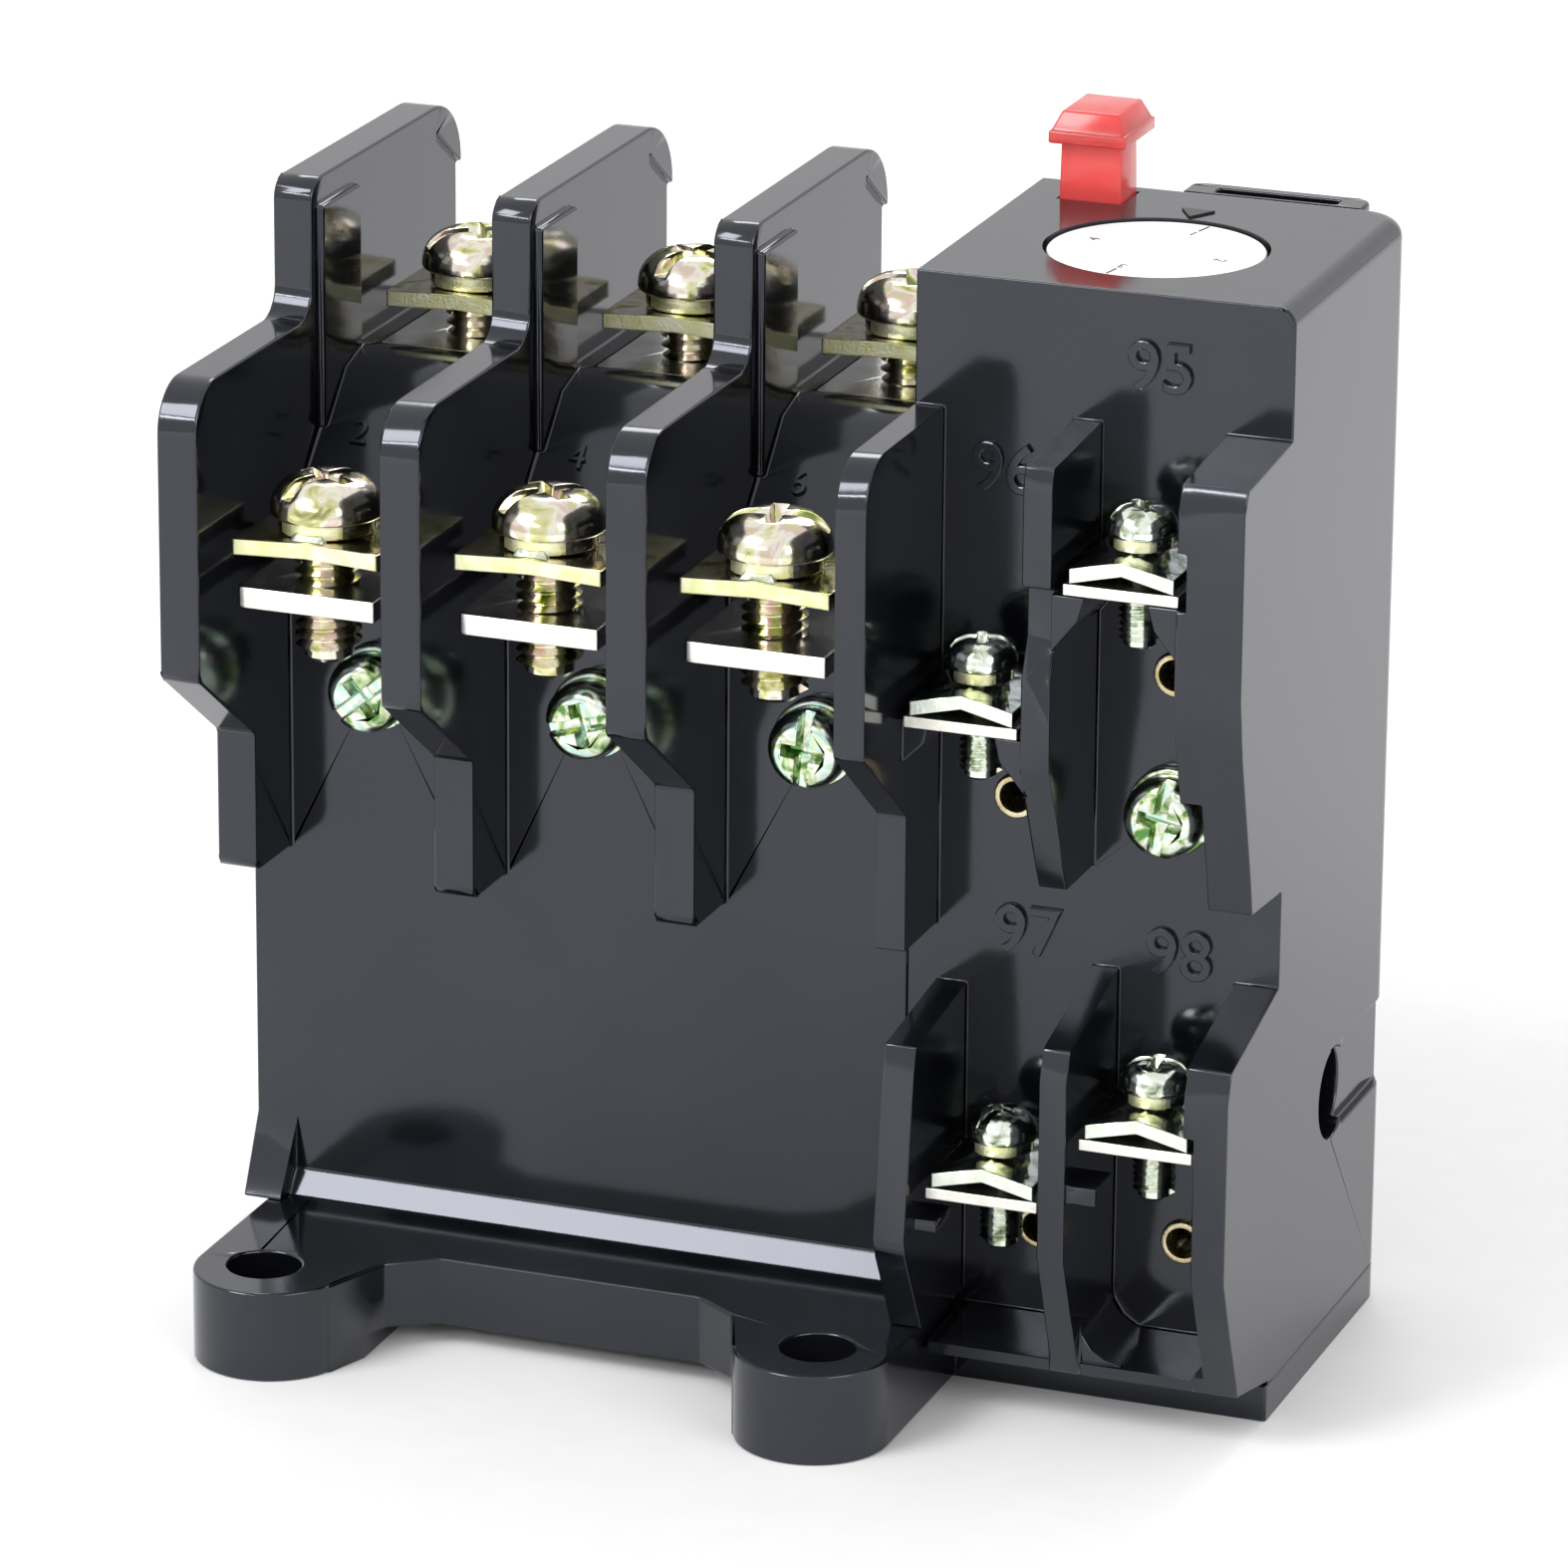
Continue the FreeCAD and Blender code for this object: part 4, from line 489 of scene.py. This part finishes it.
def roundedCopy(node, width):
    # the CAD form with its edges rounded, welded and triangulated first so that flat faces stay flat
    s = roundingSettings
    bar = node.startswith("load_bar")
    piece = copyOf(frame["nodes"][node], node.replace("_", "-") + "-moulded")
    pick(piece)
    bpy.ops.mesh.customdata_custom_splitnormals_clear()
    bpy.ops.object.mode_set(mode="EDIT")
    bpy.ops.mesh.select_all(action="SELECT")
    bpy.ops.mesh.remove_doubles(threshold=s["weldMm"] * mm)
    bpy.ops.mesh.dissolve_limited(angle_limit=math.radians(s["flatDegrees"]))
    if not bar:
        bpy.ops.mesh.quads_convert_to_tris(quad_method="BEAUTY", ngon_method="BEAUTY")
    bpy.ops.object.mode_set(mode="OBJECT")
    if bar:
        roundLeftEnd(piece)
    bevel = piece.modifiers.new("roundedEdges", "BEVEL")
    bevel.width = width * mm
    bevel.segments = s["segments"]
    markEdges(piece, node)
    bevel.limit_method = "WEIGHT"
    bevel.use_clamp_overlap = False
    bevel.miter_outer = "MITER_ARC"
    bevel.face_strength_mode = "FSTR_ALL"
    applyAll(piece)
    mendRounding(piece, frame["nodes"][node],
                 width * mm * s["strayShare"] + (s["barStrayMm"] * mm if bar else 0))
    flatShaded(piece)
    seat(piece, node)
    if slotOf[node] in litCutFaces:
        piece.data.materials.append(ownLitCutFace.get(node, litCutFaces[slotOf[node]]))
        for face in piece.data.polygons:  # the cut faces are those that look to the front, where their pale copy is painted light
            face.material_index = 1 if face.normal.y < s["frontNormal"] else 0


# the pieces that sit in an opening of each moulding
seatedPieces = {
    "main_case": ("load_bar_1", "load_bar_2", "load_bar_3", "line_bar_1", "line_bar_2", "line_bar_3",
                  "heater_fixing_screws", "line_screws", "trip_slider", "base_screws", "bimetal_bracket_1",
                  "bimetal_bracket_2", "bimetal_bracket_3"),
    "contact_case": ("terminal_plate_95", "terminal_plate_96", "terminal_plate_97", "terminal_plate_98",
                     "aux_rivets", "front_screw", "trip_slider", "base_screws", "setting_cam",
                     "rear_cover_screws", "pivot_pins", "reset_spring", "setting_dial", "reset_button"),
    "base_plate": ("base_screws",),
    "rear_cover": ("rear_cover_screws", "pivot_pins"),
}
# low and high corners, in mm, round the hole in the contact block's right side
openHoles = {"contact_case": [((33.0, -0.5, 14.0), (35.6, 6.6, 21.8))]}


def markEdges(piece, node):
    # every sharp edge is rounded, except those round the holes and slots that hold another piece:
    # all of them on the base plate, and on the other pieces those behind the panel's face
    s = roundingSettings
    margin = Vector((s["seatedMm"], s["seatedMm"], s["seatedMm"])) * mm
    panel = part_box("main_case")[0].y + s["panelMm"] * mm
    holders = [(low - margin, high + margin)
               for other in seatedPieces.get(node, ()) for low, high in solidBoxes(other)]
    holders += [(Vector(low) * mm, Vector(high) * mm) for low, high in openHoles.get(node, ())]
    mesh = bmesh.new()
    mesh.from_mesh(piece.data)
    weight = mesh.edges.layers.float.new("bevel_weight_edge")
    for edge in mesh.edges:
        if len(edge.link_faces) != 2 or edge.calc_face_angle() < math.radians(s["sharpDegrees"]):
            continue
        ends = [vert.co for vert in edge.verts]
        seated = any(all(low[k] <= end[k] <= high[k] for end in ends for k in range(3))
                     for low, high in holders)
        if not (seated and (node == "base_plate" or min(end.y for end in ends) > panel)):
            edge[weight] = 1.0
    mesh.to_mesh(piece.data)
    mesh.free()


def roundLeftEnd(bar):
    # the shears leave the bar's front left corner round
    left = min(vert.co.x for vert in bar.data.vertices)
    front = min(vert.co.y for vert in bar.data.vertices)
    selectEdges(bar, lambda a, b: max(abs(a.x - left), abs(b.x - left),
                                      abs(a.y - front), abs(b.y - front)) < 0.01 * mm)
    bpy.ops.mesh.bevel(offset=roundingSettings["barCornerMm"] * mm,
                       segments=roundingSettings["barCornerSegments"])
    bpy.ops.object.mode_set(mode="OBJECT")


for node, width in roundedMm.items():
    roundedCopy(node, width)
print("rounded pieces made:", len(roundedMm))


mainScrew = dict(riseMm=2.5, threadMm=1.95, pitchMm=0.7, slotMm=1.15, deepShare=0.55, roundShare=0.86,
                 facing="up")
panelScrew = dict(riseMm=2.3, threadMm=1.7, pitchMm=0.6, slotMm=0.95, deepShare=0.6, roundShare=0.45,
                  facing="front")
# turns are the directions of the screws' slots, from left to right
screwSettings = {
    "load_screws": dict(mainScrew, turns=(62, 48, 10)),
    "line_screws": dict(mainScrew, turns=(35, 70, 20)),
    "aux_screws": dict(riseMm=1.9, threadMm=1.25, pitchMm=0.45, slotMm=0.75, deepShare=0.55,
                       roundShare=0.8, facing="up", turns=(20, 65, 40, 5)),
    "heater_fixing_screws": dict(panelScrew, turns=(40, 15, 85)),
    "front_screw": dict(panelScrew, turns=(80,)),
}


screwForm = dict(headSides=48, rimSegments=9, edgeMm=0.07, edgeDegrees=40, shankSides=32,
                 turnSteps=28)


def screwHead(radius, rise, s):
    # a pan head with a rounded rim, cut by a cross recess and one long slot
    deselectAll()
    bpy.ops.mesh.primitive_cylinder_add(vertices=screwForm["headSides"], radius=radius, depth=rise,
                                        location=(0, 0, rise / 2))
    head = bpy.context.object
    bpy.ops.object.transform_apply(location=True)
    selectEdges(head, lambda a, b: a.z > rise * 0.99 and b.z > rise * 0.99)
    bpy.ops.mesh.bevel(offset=rise * s["roundShare"], segments=screwForm["rimSegments"], profile=0.5)
    selectEdges(head, lambda a, b: a.z < rise * 0.01 and b.z < rise * 0.01)
    bpy.ops.mesh.bevel(offset=rise * 0.08, segments=2)
    bpy.ops.object.mode_set(mode="OBJECT")
    deep = rise * s["deepShare"]
    slot = s["slotMm"] * mm
    # the long slot runs through the rim, the short one across it is deeper
    for long, wide, depth, turn in ((radius * 2.4, slot, deep * 0.8, 0),
                                    (radius * 1.15, slot * 0.95, deep, 90)):
        deselectAll()
        bpy.ops.mesh.primitive_cube_add(size=1, location=(0, 0, rise - depth / 2 + rise * 0.05))
        cutter = bpy.context.object
        cutter.scale = (long, wide, depth + rise * 0.1)
        cutter.rotation_euler = (0, 0, math.radians(turn))
        bpy.ops.object.transform_apply(location=True, rotation=True, scale=True)
        # the recess narrows towards its floor
        selectFaces(cutter, lambda normal, middle: normal.z < -0.9)
        bpy.ops.transform.resize(value=(0.86, 0.72, 1) if turn == 0 else (0.6, 0.8, 1))
        bpy.ops.object.mode_set(mode="OBJECT")
        cut = head.modifiers.new("recess", "BOOLEAN")
        cut.object = cutter
        cut.solver = "EXACT"
        applyAll(head)
        bpy.data.objects.remove(cutter)
    edge = head.modifiers.new("softEdges", "BEVEL")
    edge.width = screwForm["edgeMm"] * mm
    edge.segments = 2
    edge.limit_method = "ANGLE"
    edge.angle_limit = math.radians(screwForm["edgeDegrees"])
    edge.use_clamp_overlap = False
    applyAll(head)
    return head


def threadedShank(length, s):
    # a core with one helical ridge wound round it
    radius, pitch = s["threadMm"] * mm, s["pitchMm"] * mm
    core = radius - pitch * 0.5
    deselectAll()
    bpy.ops.mesh.primitive_cylinder_add(vertices=screwForm["shankSides"], radius=core, depth=length,
                                        location=(0, 0, -length / 2))
    shank = bpy.context.object
    bpy.ops.object.transform_apply(location=True)
    selectEdges(shank, lambda a, b: a.z < -length * 0.99 and b.z < -length * 0.99)
    bpy.ops.mesh.bevel(offset=pitch * 0.4, segments=1)
    bpy.ops.object.mode_set(mode="OBJECT")
    deselectAll()
    start = (core + pitch * 0.2, 0, -length + pitch * 0.9)
    bpy.ops.mesh.primitive_circle_add(vertices=3, radius=pitch * 0.58, location=start,
                                      rotation=(math.radians(90), 0, 0))
    ridge = bpy.context.object
    bpy.ops.object.transform_apply(location=True, rotation=True, scale=True)
    pick(ridge)
    bpy.ops.object.mode_set(mode="EDIT")
    bpy.ops.mesh.select_all(action="SELECT")
    bpy.ops.transform.rotate(value=math.radians(-90), orient_axis="Y", center_override=start)
    bpy.ops.object.mode_set(mode="OBJECT")
    winding = ridge.modifiers.new("winding", "SCREW")
    winding.axis = "Z"
    winding.screw_offset = pitch
    winding.iterations = int((length - pitch * 1.6) / pitch)
    winding.steps = screwForm["turnSteps"]
    winding.render_steps = screwForm["turnSteps"]
    winding.use_merge_vertices = False
    applyAll(ridge)
    pick(ridge)
    bpy.ops.object.mode_set(mode="EDIT")
    bpy.ops.mesh.select_all(action="SELECT")
    bpy.ops.mesh.fill_holes(sides=4)
    bpy.ops.mesh.select_all(action="SELECT")
    bpy.ops.mesh.normals_make_consistent(inside=False)
    bpy.ops.object.mode_set(mode="OBJECT")
    return joinAll([shank, ridge], "shank")


def finishedScrews(node):
    # one screw is made at the origin and copied to the place of each of the node's solids
    s = screwSettings[node]
    upright = s["facing"] == "up"
    boxes = solidBoxes(node)
    low, high = boxes[0]
    radius, whole = (high.x - low.x) / 2, high.z - low.z if upright else high.y - low.y
    rise = s["riseMm"] * mm
    model = joinAll([screwHead(radius, rise, s), threadedShank(whole - rise, s)], "model")
    smooth(model)
    made = []
    for count, (low, high) in enumerate(boxes):
        twin = copyOf(model, "%s-%d" % (node.replace("_", "-"), count + 1))
        middle = (low + high) / 2
        swing = math.radians(s["turns"][count])
        if upright:
            moveMesh(twin, (middle.x, middle.y, high.z - rise), (0, 0, swing))
        else:  # turned about its own axis first, then laid down to face the front
            moveMesh(twin, (0, 0, 0), (0, 0, swing))
            moveMesh(twin, (middle.x, low.y + rise, middle.z), (math.radians(90), 0, 0))
        made.append(twin)
    bpy.data.objects.remove(model)
    for twin in made:
        seat(twin, node)


for node in screwSettings:
    finishedScrews(node)
print("screws made")


springSettings = dict(weldMm=0.002, endMm=0.4, smoothDegrees=50)


def woundSpring():
    # the reset spring stands in the case and is pressed down by the button's plunger
    s = springSettings
    spring = copyOf(frame["nodes"]["reset_spring"], "reset-spring-wound")
    pick(spring)
    bpy.ops.mesh.customdata_custom_splitnormals_clear()
    bpy.ops.object.mode_set(mode="EDIT")
    bpy.ops.mesh.select_all(action="SELECT")
    bpy.ops.mesh.remove_doubles(threshold=s["weldMm"] * mm)
    bpy.ops.object.mode_set(mode="OBJECT")
    smooth(spring, s["smoothDegrees"])
    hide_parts("reset_spring")
    paint(spring, finishes[slotOf["reset_spring"]])
    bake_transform(spring)


tongueSettings = dict(wideMm=2.5, deepMm=1.2, riseMm=0.5, crown=(0.72, 0.45), edgeMm=0.06,
                      fromFrontMm=0.95, standShare=0.3)


def saddleTongues():
    # small tongues pressed up from the main saddles, just in front of the screws' heads
    s = tongueSettings
    mesh = frame["nodes"]["load_saddles"].data
    surface = BVHTree.FromPolygons([v.co for v in mesh.vertices],
                                   [tuple(f.vertices) for f in mesh.polygons])
    for count, (low, high) in enumerate(solidBoxes("load_saddles")):
        deselectAll()
        bpy.ops.mesh.primitive_cube_add(size=1, location=(0, 0, 0))
        tongue = bpy.context.object
        tongue.name = "load-saddle-tongue-%d" % (count + 1)
        tongue.scale = (s["wideMm"] * mm, s["deepMm"] * mm, s["riseMm"] * mm)
        bpy.ops.object.transform_apply(scale=True)
        selectFaces(tongue, lambda normal, middle: normal.z > 0.9)
        bpy.ops.transform.resize(value=(*s["crown"], 1))
        bpy.ops.object.mode_set(mode="OBJECT")
        selectEdges(tongue, lambda a, b: a.z > 0 or b.z > 0)
        bpy.ops.mesh.bevel(offset=s["edgeMm"] * mm, segments=2)
        bpy.ops.object.mode_set(mode="OBJECT")
        smooth(tongue)
        above = Vector(((low.x + high.x) / 2, low.y + s["fromFrontMm"] * mm, high.z + 5 * mm))
        upperFace = surface.ray_cast(above, Vector((0, 0, -1)))[0].z  # the saddle is bent here
        moveMesh(tongue, (above.x, above.y, upperFace + s["riseMm"] * mm * s["standShare"]))
        # the tongues take the paler clear zinc, not the saddles' yellow: a painted highlight
        setOn(tongue, "load_saddles", zincClear)


woundSpring()
saddleTongues()
print("spring and saddle tongues made")


dialSettings = dict(
    sides=96, rimMm=0.18, tickMm=(0.16, 1.3), tickInMm=0.35, tickLiftMm=0.012,
    digitMm=1.15, digitInMm=2.4, inkMm=0.01,
    marks=((78, "1", True), (-12, "2", False), (-100, "3", True), (168, "4", False)),
    pointerMm=(1.7, 1.9), pointerRiseMm=0.14, pointerPlaceMm=(-0.3, 1.9))


def dial():
    # a plain disc with a rounded rim
    s = dialSettings
    low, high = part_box("setting_dial")
    middle, radius = (low + high) / 2, (high.x - low.x) / 2
    deselectAll()
    bpy.ops.mesh.primitive_cylinder_add(vertices=s["sides"], radius=radius, depth=high.z - low.z,
                                        location=middle)
    disc = bpy.context.object
    disc.name = "dial-disc"
    bpy.ops.object.transform_apply(location=True)
    selectEdges(disc, lambda a, b: min(a.z, b.z) > high.z - 0.001 * mm)
    bpy.ops.mesh.bevel(offset=s["rimMm"] * mm, segments=3)
    bpy.ops.object.mode_set(mode="OBJECT")
    smooth(disc)
    seat(disc, "setting_dial")
    return middle, radius, high.z


def textMesh(name, text, height, rise, edge=0.0, fineness=12):
    # a text with its middle at the origin, as a mesh that stands up by rise and goes as far down
    deselectAll()
    bpy.ops.object.text_add(location=(0, 0, 0))
    mark = bpy.context.object
    mark.data.body = text
    mark.data.size = height
    mark.data.align_x = "CENTER"
    mark.data.align_y = "CENTER"
    mark.data.extrude = rise
    mark.data.bevel_depth = edge
    mark.data.bevel_resolution = 1
    mark.data.resolution_u = fineness
    bpy.ops.object.convert(target="MESH")
    mark.name = name
    return mark


def dialMarks(middle, radius, top):
    # ticks and figures printed on the dial, just above its face
    s = dialSettings
    wide, long = s["tickMm"][0] * mm, s["tickMm"][1] * mm
    for degrees, digit, ticked in s["marks"]:
        angle = math.radians(degrees)
        out = Vector((math.cos(angle), math.sin(angle), 0))
        if ticked:
            deselectAll()
            bpy.ops.mesh.primitive_cube_add(size=1, location=(0, 0, 0))
            tick = bpy.context.object
            tick.scale = (long, wide, 2 * s["inkMm"] * mm)
            bpy.ops.object.transform_apply(scale=True)
            selectEdges(tick, lambda a, b: a.x > 0 and b.x > 0 and abs(a.z - b.z) > 0.001 * mm)
            bpy.ops.mesh.bevel(offset=wide * 0.3, segments=2)
            bpy.ops.object.mode_set(mode="OBJECT")
            tick.name = "dial-tick-" + digit
            spot = middle + out * (radius - long / 2 - s["tickInMm"] * mm)
            moveMesh(tick, (spot.x, spot.y, top + s["tickLiftMm"] * mm), (0, 0, angle))
            setOn(tick, "setting_dial", inkBlack)
        spot = middle + out * (radius - s["digitInMm"] * mm)
        figure = textMesh("dial-figure-" + digit, digit, s["digitMm"] * mm, s["inkMm"] * mm)
        moveMesh(figure, (spot.x, spot.y, top + s["inkMm"] * mm), (0, 0, angle - math.pi / 2))
        setOn(figure, "setting_dial", inkBlack)


def dialPointer(middle, radius):
    # a small raised triangle on the case that points at the dial
    s = dialSettings
    wide, long = s["pointerMm"][0] * mm, s["pointerMm"][1] * mm
    aside, behind = s["pointerPlaceMm"]
    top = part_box("contact_case")[1].z
    deselectAll()
    bpy.ops.mesh.primitive_circle_add(vertices=3, radius=wide, fill_type="NGON", location=(0, 0, 0))
    arrow = bpy.context.object
    arrow.name = "dial-pointer"
    selectFaces(arrow, lambda normal, spot: True)
    bpy.ops.mesh.extrude_region_move(TRANSFORM_OT_translate={"value": (0, 0, s["pointerRiseMm"] * mm)})
    bpy.ops.mesh.select_all(action="SELECT")
    bpy.ops.transform.resize(value=(0.75, long / wide / 1.5, 1))  # the circle is 1.5 radii high
    bpy.ops.mesh.normals_make_consistent(inside=False)
    bpy.ops.object.mode_set(mode="OBJECT")
    moveMesh(arrow, (middle.x + aside * mm, middle.y + radius + behind * mm, top - 0.01 * mm),
             (0, 0, math.pi))
    setOn(arrow, "contact_case", inkBlack)


buttonSettings = dict(
    capMm=2.1, rimMm=0.85, crownInMm=0.1, insetMm=0.62, edgeMm=0.16,
    stemMm=(4.3, 3.4), stemBackMm=3.6, flareMm=0.12, collarMm=1.8, lapMm=(0.1, 0.2))


def tapered(low, high, inset, edge, turned):
    # a box whose top (or foot, when turned) is drawn in all round, with rounded edges
    deselectAll()
    bpy.ops.mesh.primitive_cube_add(size=1, location=(0, 0, 0))
    block = bpy.context.object
    block.scale = high - low
    bpy.ops.object.transform_apply(scale=True)
    moveMesh(block, (low + high) / 2)
    size = high - low
    middle = (low + high) / 2
    selectFaces(block, lambda normal, spot: normal.z < -0.9 if turned else normal.z > 0.9)
    bpy.ops.transform.resize(value=(1 - 2 * inset / size.x, 1 - 2 * inset / size.y, 1),
                             center_override=(middle.x, middle.y, middle.z))
    bpy.ops.object.mode_set(mode="OBJECT")
    soft = block.modifiers.new("softEdges", "BEVEL")
    soft.width = edge
    soft.segments = 3
    soft.use_clamp_overlap = False
    applyAll(block)
    return block


def resetButton():
    # a cap with an upright rim and a bevelled top, on a stem that narrows a little towards it
    s = {key: value * mm for key, value in buttonSettings.items() if key not in ("stemMm", "lapMm")}
    across, deep = (value * mm / 2 for value in buttonSettings["stemMm"])
    lap, stemLap = (value * mm for value in buttonSettings["lapMm"])  # the forms run into each other
    edge = s["edgeMm"]
    low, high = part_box("reset_button")
    capFoot = high.z - s["capMm"]
    rimTop = capFoot + s["rimMm"]
    collarTop = low.z + s["collarMm"]
    inwards = Vector((s["crownInMm"], s["crownInMm"], 0))
    centre = Vector(((low.x + high.x) / 2, high.y - s["stemBackMm"], 0))
    rim = tapered(Vector((low.x, low.y, capFoot)), Vector((high.x, high.y, rimTop)), 0.0, edge, True)
    crown = tapered(Vector((low.x, low.y, rimTop - lap)) + inwards, high - inwards,
                    s["insetMm"], edge, False)
    stem = tapered(Vector((centre.x - across, centre.y - deep, collarTop - lap)),
                   Vector((centre.x + across, centre.y + deep, capFoot + stemLap)),
                   s["flareMm"], edge, False)
    collar = tapered(Vector((low.x, centre.y - deep, low.z)),
                     Vector((high.x, centre.y + deep, collarTop)), 0.0, edge, True)
    button = joinAll([rim, crown, stem, collar], "reset-button-moulded")
    smooth(button)
    seat(button, "reset_button")


middle, radius, top = dial()
dialMarks(middle, radius, top)
dialPointer(middle, radius)
resetButton()
print("dial and button made")


# terminal numbers stand on the contact block's front, slope numbers behind the load terminals
terminalNumbers = dict(heightMm=4.5, riseMm=0.28, edgeMm=0.07, fineness=6, frontMm=-5.65, placesMm={
    "95": (16.2, 68.9), "96": (6.1, 61.3), "97": (8.1, 30.9), "98": (18.2, 30.6)})
slopeNumbers = dict(heightMm=2.5, riseMm=0.16, edgeMm=0.0, fineness=5, leftMm=3.3, placeMm=(-0.7, 57.25),
                    tilt=44, texts=("2", "4", "6"))


def raisedNumber(text, node, place, tilt, s):
    # a number moulded with the case, half sunk in its face
    number = textMesh("number-" + text, text, s["heightMm"] * mm, s["riseMm"] * mm,
                      s["edgeMm"] * mm, s["fineness"])
    moveMesh(number, place, (math.radians(tilt), 0, 0))
    smooth(number)
    setOn(number, node, phenolic)


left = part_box("contact_case")[0].x
for text, (across, up) in terminalNumbers["placesMm"].items():
    raisedNumber(text, "contact_case", (left + across * mm, terminalNumbers["frontMm"] * mm, up * mm),
                 90, terminalNumbers)
for bay, text in enumerate(slopeNumbers["texts"]):
    low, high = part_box("load_bar_%d" % (bay + 1))
    back, up = slopeNumbers["placeMm"]
    raisedNumber(text, "main_case", ((low.x + high.x) / 2 - slopeNumbers["leftMm"] * mm, back * mm, up * mm),
                 slopeNumbers["tilt"], slopeNumbers)
print("numbers made")


stageSettings = dict(floorMm=6000, floorHex=("#f6f6f6", "#f8f8f8"), fibreMm=4, worldStrength=0.72)


def floorAndWorld():
    # a sheet of pale paper, and a white surround that is dimmer as a light than it looks
    s = stageSettings
    deselectAll()
    bpy.ops.mesh.primitive_plane_add(size=s["floorMm"] * mm, location=(0, 0, cadLow.z))
    floor = bpy.context.object
    floor.name = "studio-floor"
    material, tree, shader, place = newMaterial("paperFloor")
    fibre = addNode(tree, "ShaderNodeTexNoise", [("Vector", place)], in_Scale=1 / (s["fibreMm"] * mm))
    tone = setRamp(addNode(tree, "ShaderNodeValToRGB", [("Fac", fibre.outputs["Fac"])]),
                   [(0.3, s["floorHex"][0]), (0.7, s["floorHex"][1])])
    tree.links.new(tone.outputs["Color"], shader.inputs["Base Color"])
    shader.inputs["Roughness"].default_value = 0.9
    paint(floor, material)
    world = bpy.data.worlds.new("studioWorld")
    bpy.context.scene.world = world
    world.use_nodes = True
    sky = world.node_tree
    rays = addNode(sky, "ShaderNodeLightPath")
    seen = rays.outputs["Is Camera Ray"]
    for ray in ("Is Glossy Ray", "Is Transmission Ray"):
        seen = addNode(sky, "ShaderNodeMath", [(0, seen), (1, rays.outputs[ray])],
                       operation="MAXIMUM").outputs[0]
    strength = addNode(sky, "ShaderNodeMapRange", [("Value", seen)], in_3=s["worldStrength"], in_4=1.0)
    sky.links.new(strength.outputs["Result"], sky.nodes["Background"].inputs["Strength"])
    sky.nodes["Background"].inputs["Color"].default_value = (1, 1, 1, 1)


# places in metres
lampSettings = {
    "keyLamp": dict(place=(-0.55, -0.75, 0.85), sizeMm=(460, 460), watts=7.0),
    "fillLamp": dict(place=(0.85, -0.5, 0.45), sizeMm=(600, 400), watts=3.0),
    "backLamp": dict(place=(-0.1, 0.8, 0.8), sizeMm=(700, 300), watts=4.0),
    "edgeLamp": dict(place=(-0.40, -1.0, 0.57), sizeMm=(800, 40), watts=3.2),
}


def lamps():
    # soft lamps round the part; the narrow one draws the bright lines on its edges
    aim = Vector((0, 0, (cadLow.z + cadHigh.z) / 2))
    for name, s in lampSettings.items():
        bpy.ops.object.light_add(type="AREA", location=s["place"])
        lamp = bpy.context.object
        lamp.name = name
        lamp.data.shape = "RECTANGLE"
        lamp.data.size = s["sizeMm"][0] * mm
        lamp.data.size_y = s["sizeMm"][1] * mm
        lamp.data.energy = s["watts"]
        lamp.rotation_euler = (aim - Vector(s["place"])).to_track_quat("-Z", "Y").to_euler()


# angles in degrees, the lens in mm
cameraSettings = dict(eyeMm=(188.2, -505.1, 219.4), azimuth=20.46, elevation=18.72, roll=0.42, lens=202.4)


def camera():
    # a long lens from the front right, a little above the part
    s = cameraSettings
    bpy.ops.object.camera_add(location=[value * mm for value in s["eyeMm"]])
    cam = bpy.context.object
    azimuth, elevation, roll = (math.radians(s[key]) for key in ("azimuth", "elevation", "roll"))
    look = Vector((-math.sin(azimuth) * math.cos(elevation), math.cos(azimuth) * math.cos(elevation),
                   -math.sin(elevation)))
    level = Vector((math.cos(azimuth), math.sin(azimuth), 0))
    right = level * math.cos(roll) + level.cross(look) * math.sin(roll)
    turn = Matrix((right, right.cross(look), -look)).transposed()
    cam.rotation_mode = "QUATERNION"
    cam.rotation_quaternion = turn.to_quaternion()
    cam.data.sensor_width = 36
    cam.data.lens = s["lens"]
    cam.data.clip_start = 0.01
    cam.data.clip_end = 20
    bpy.context.scene.camera = cam


floorAndWorld()
lamps()
camera()
bpy.context.scene.view_settings.view_transform = "Standard"

print("scene finished")
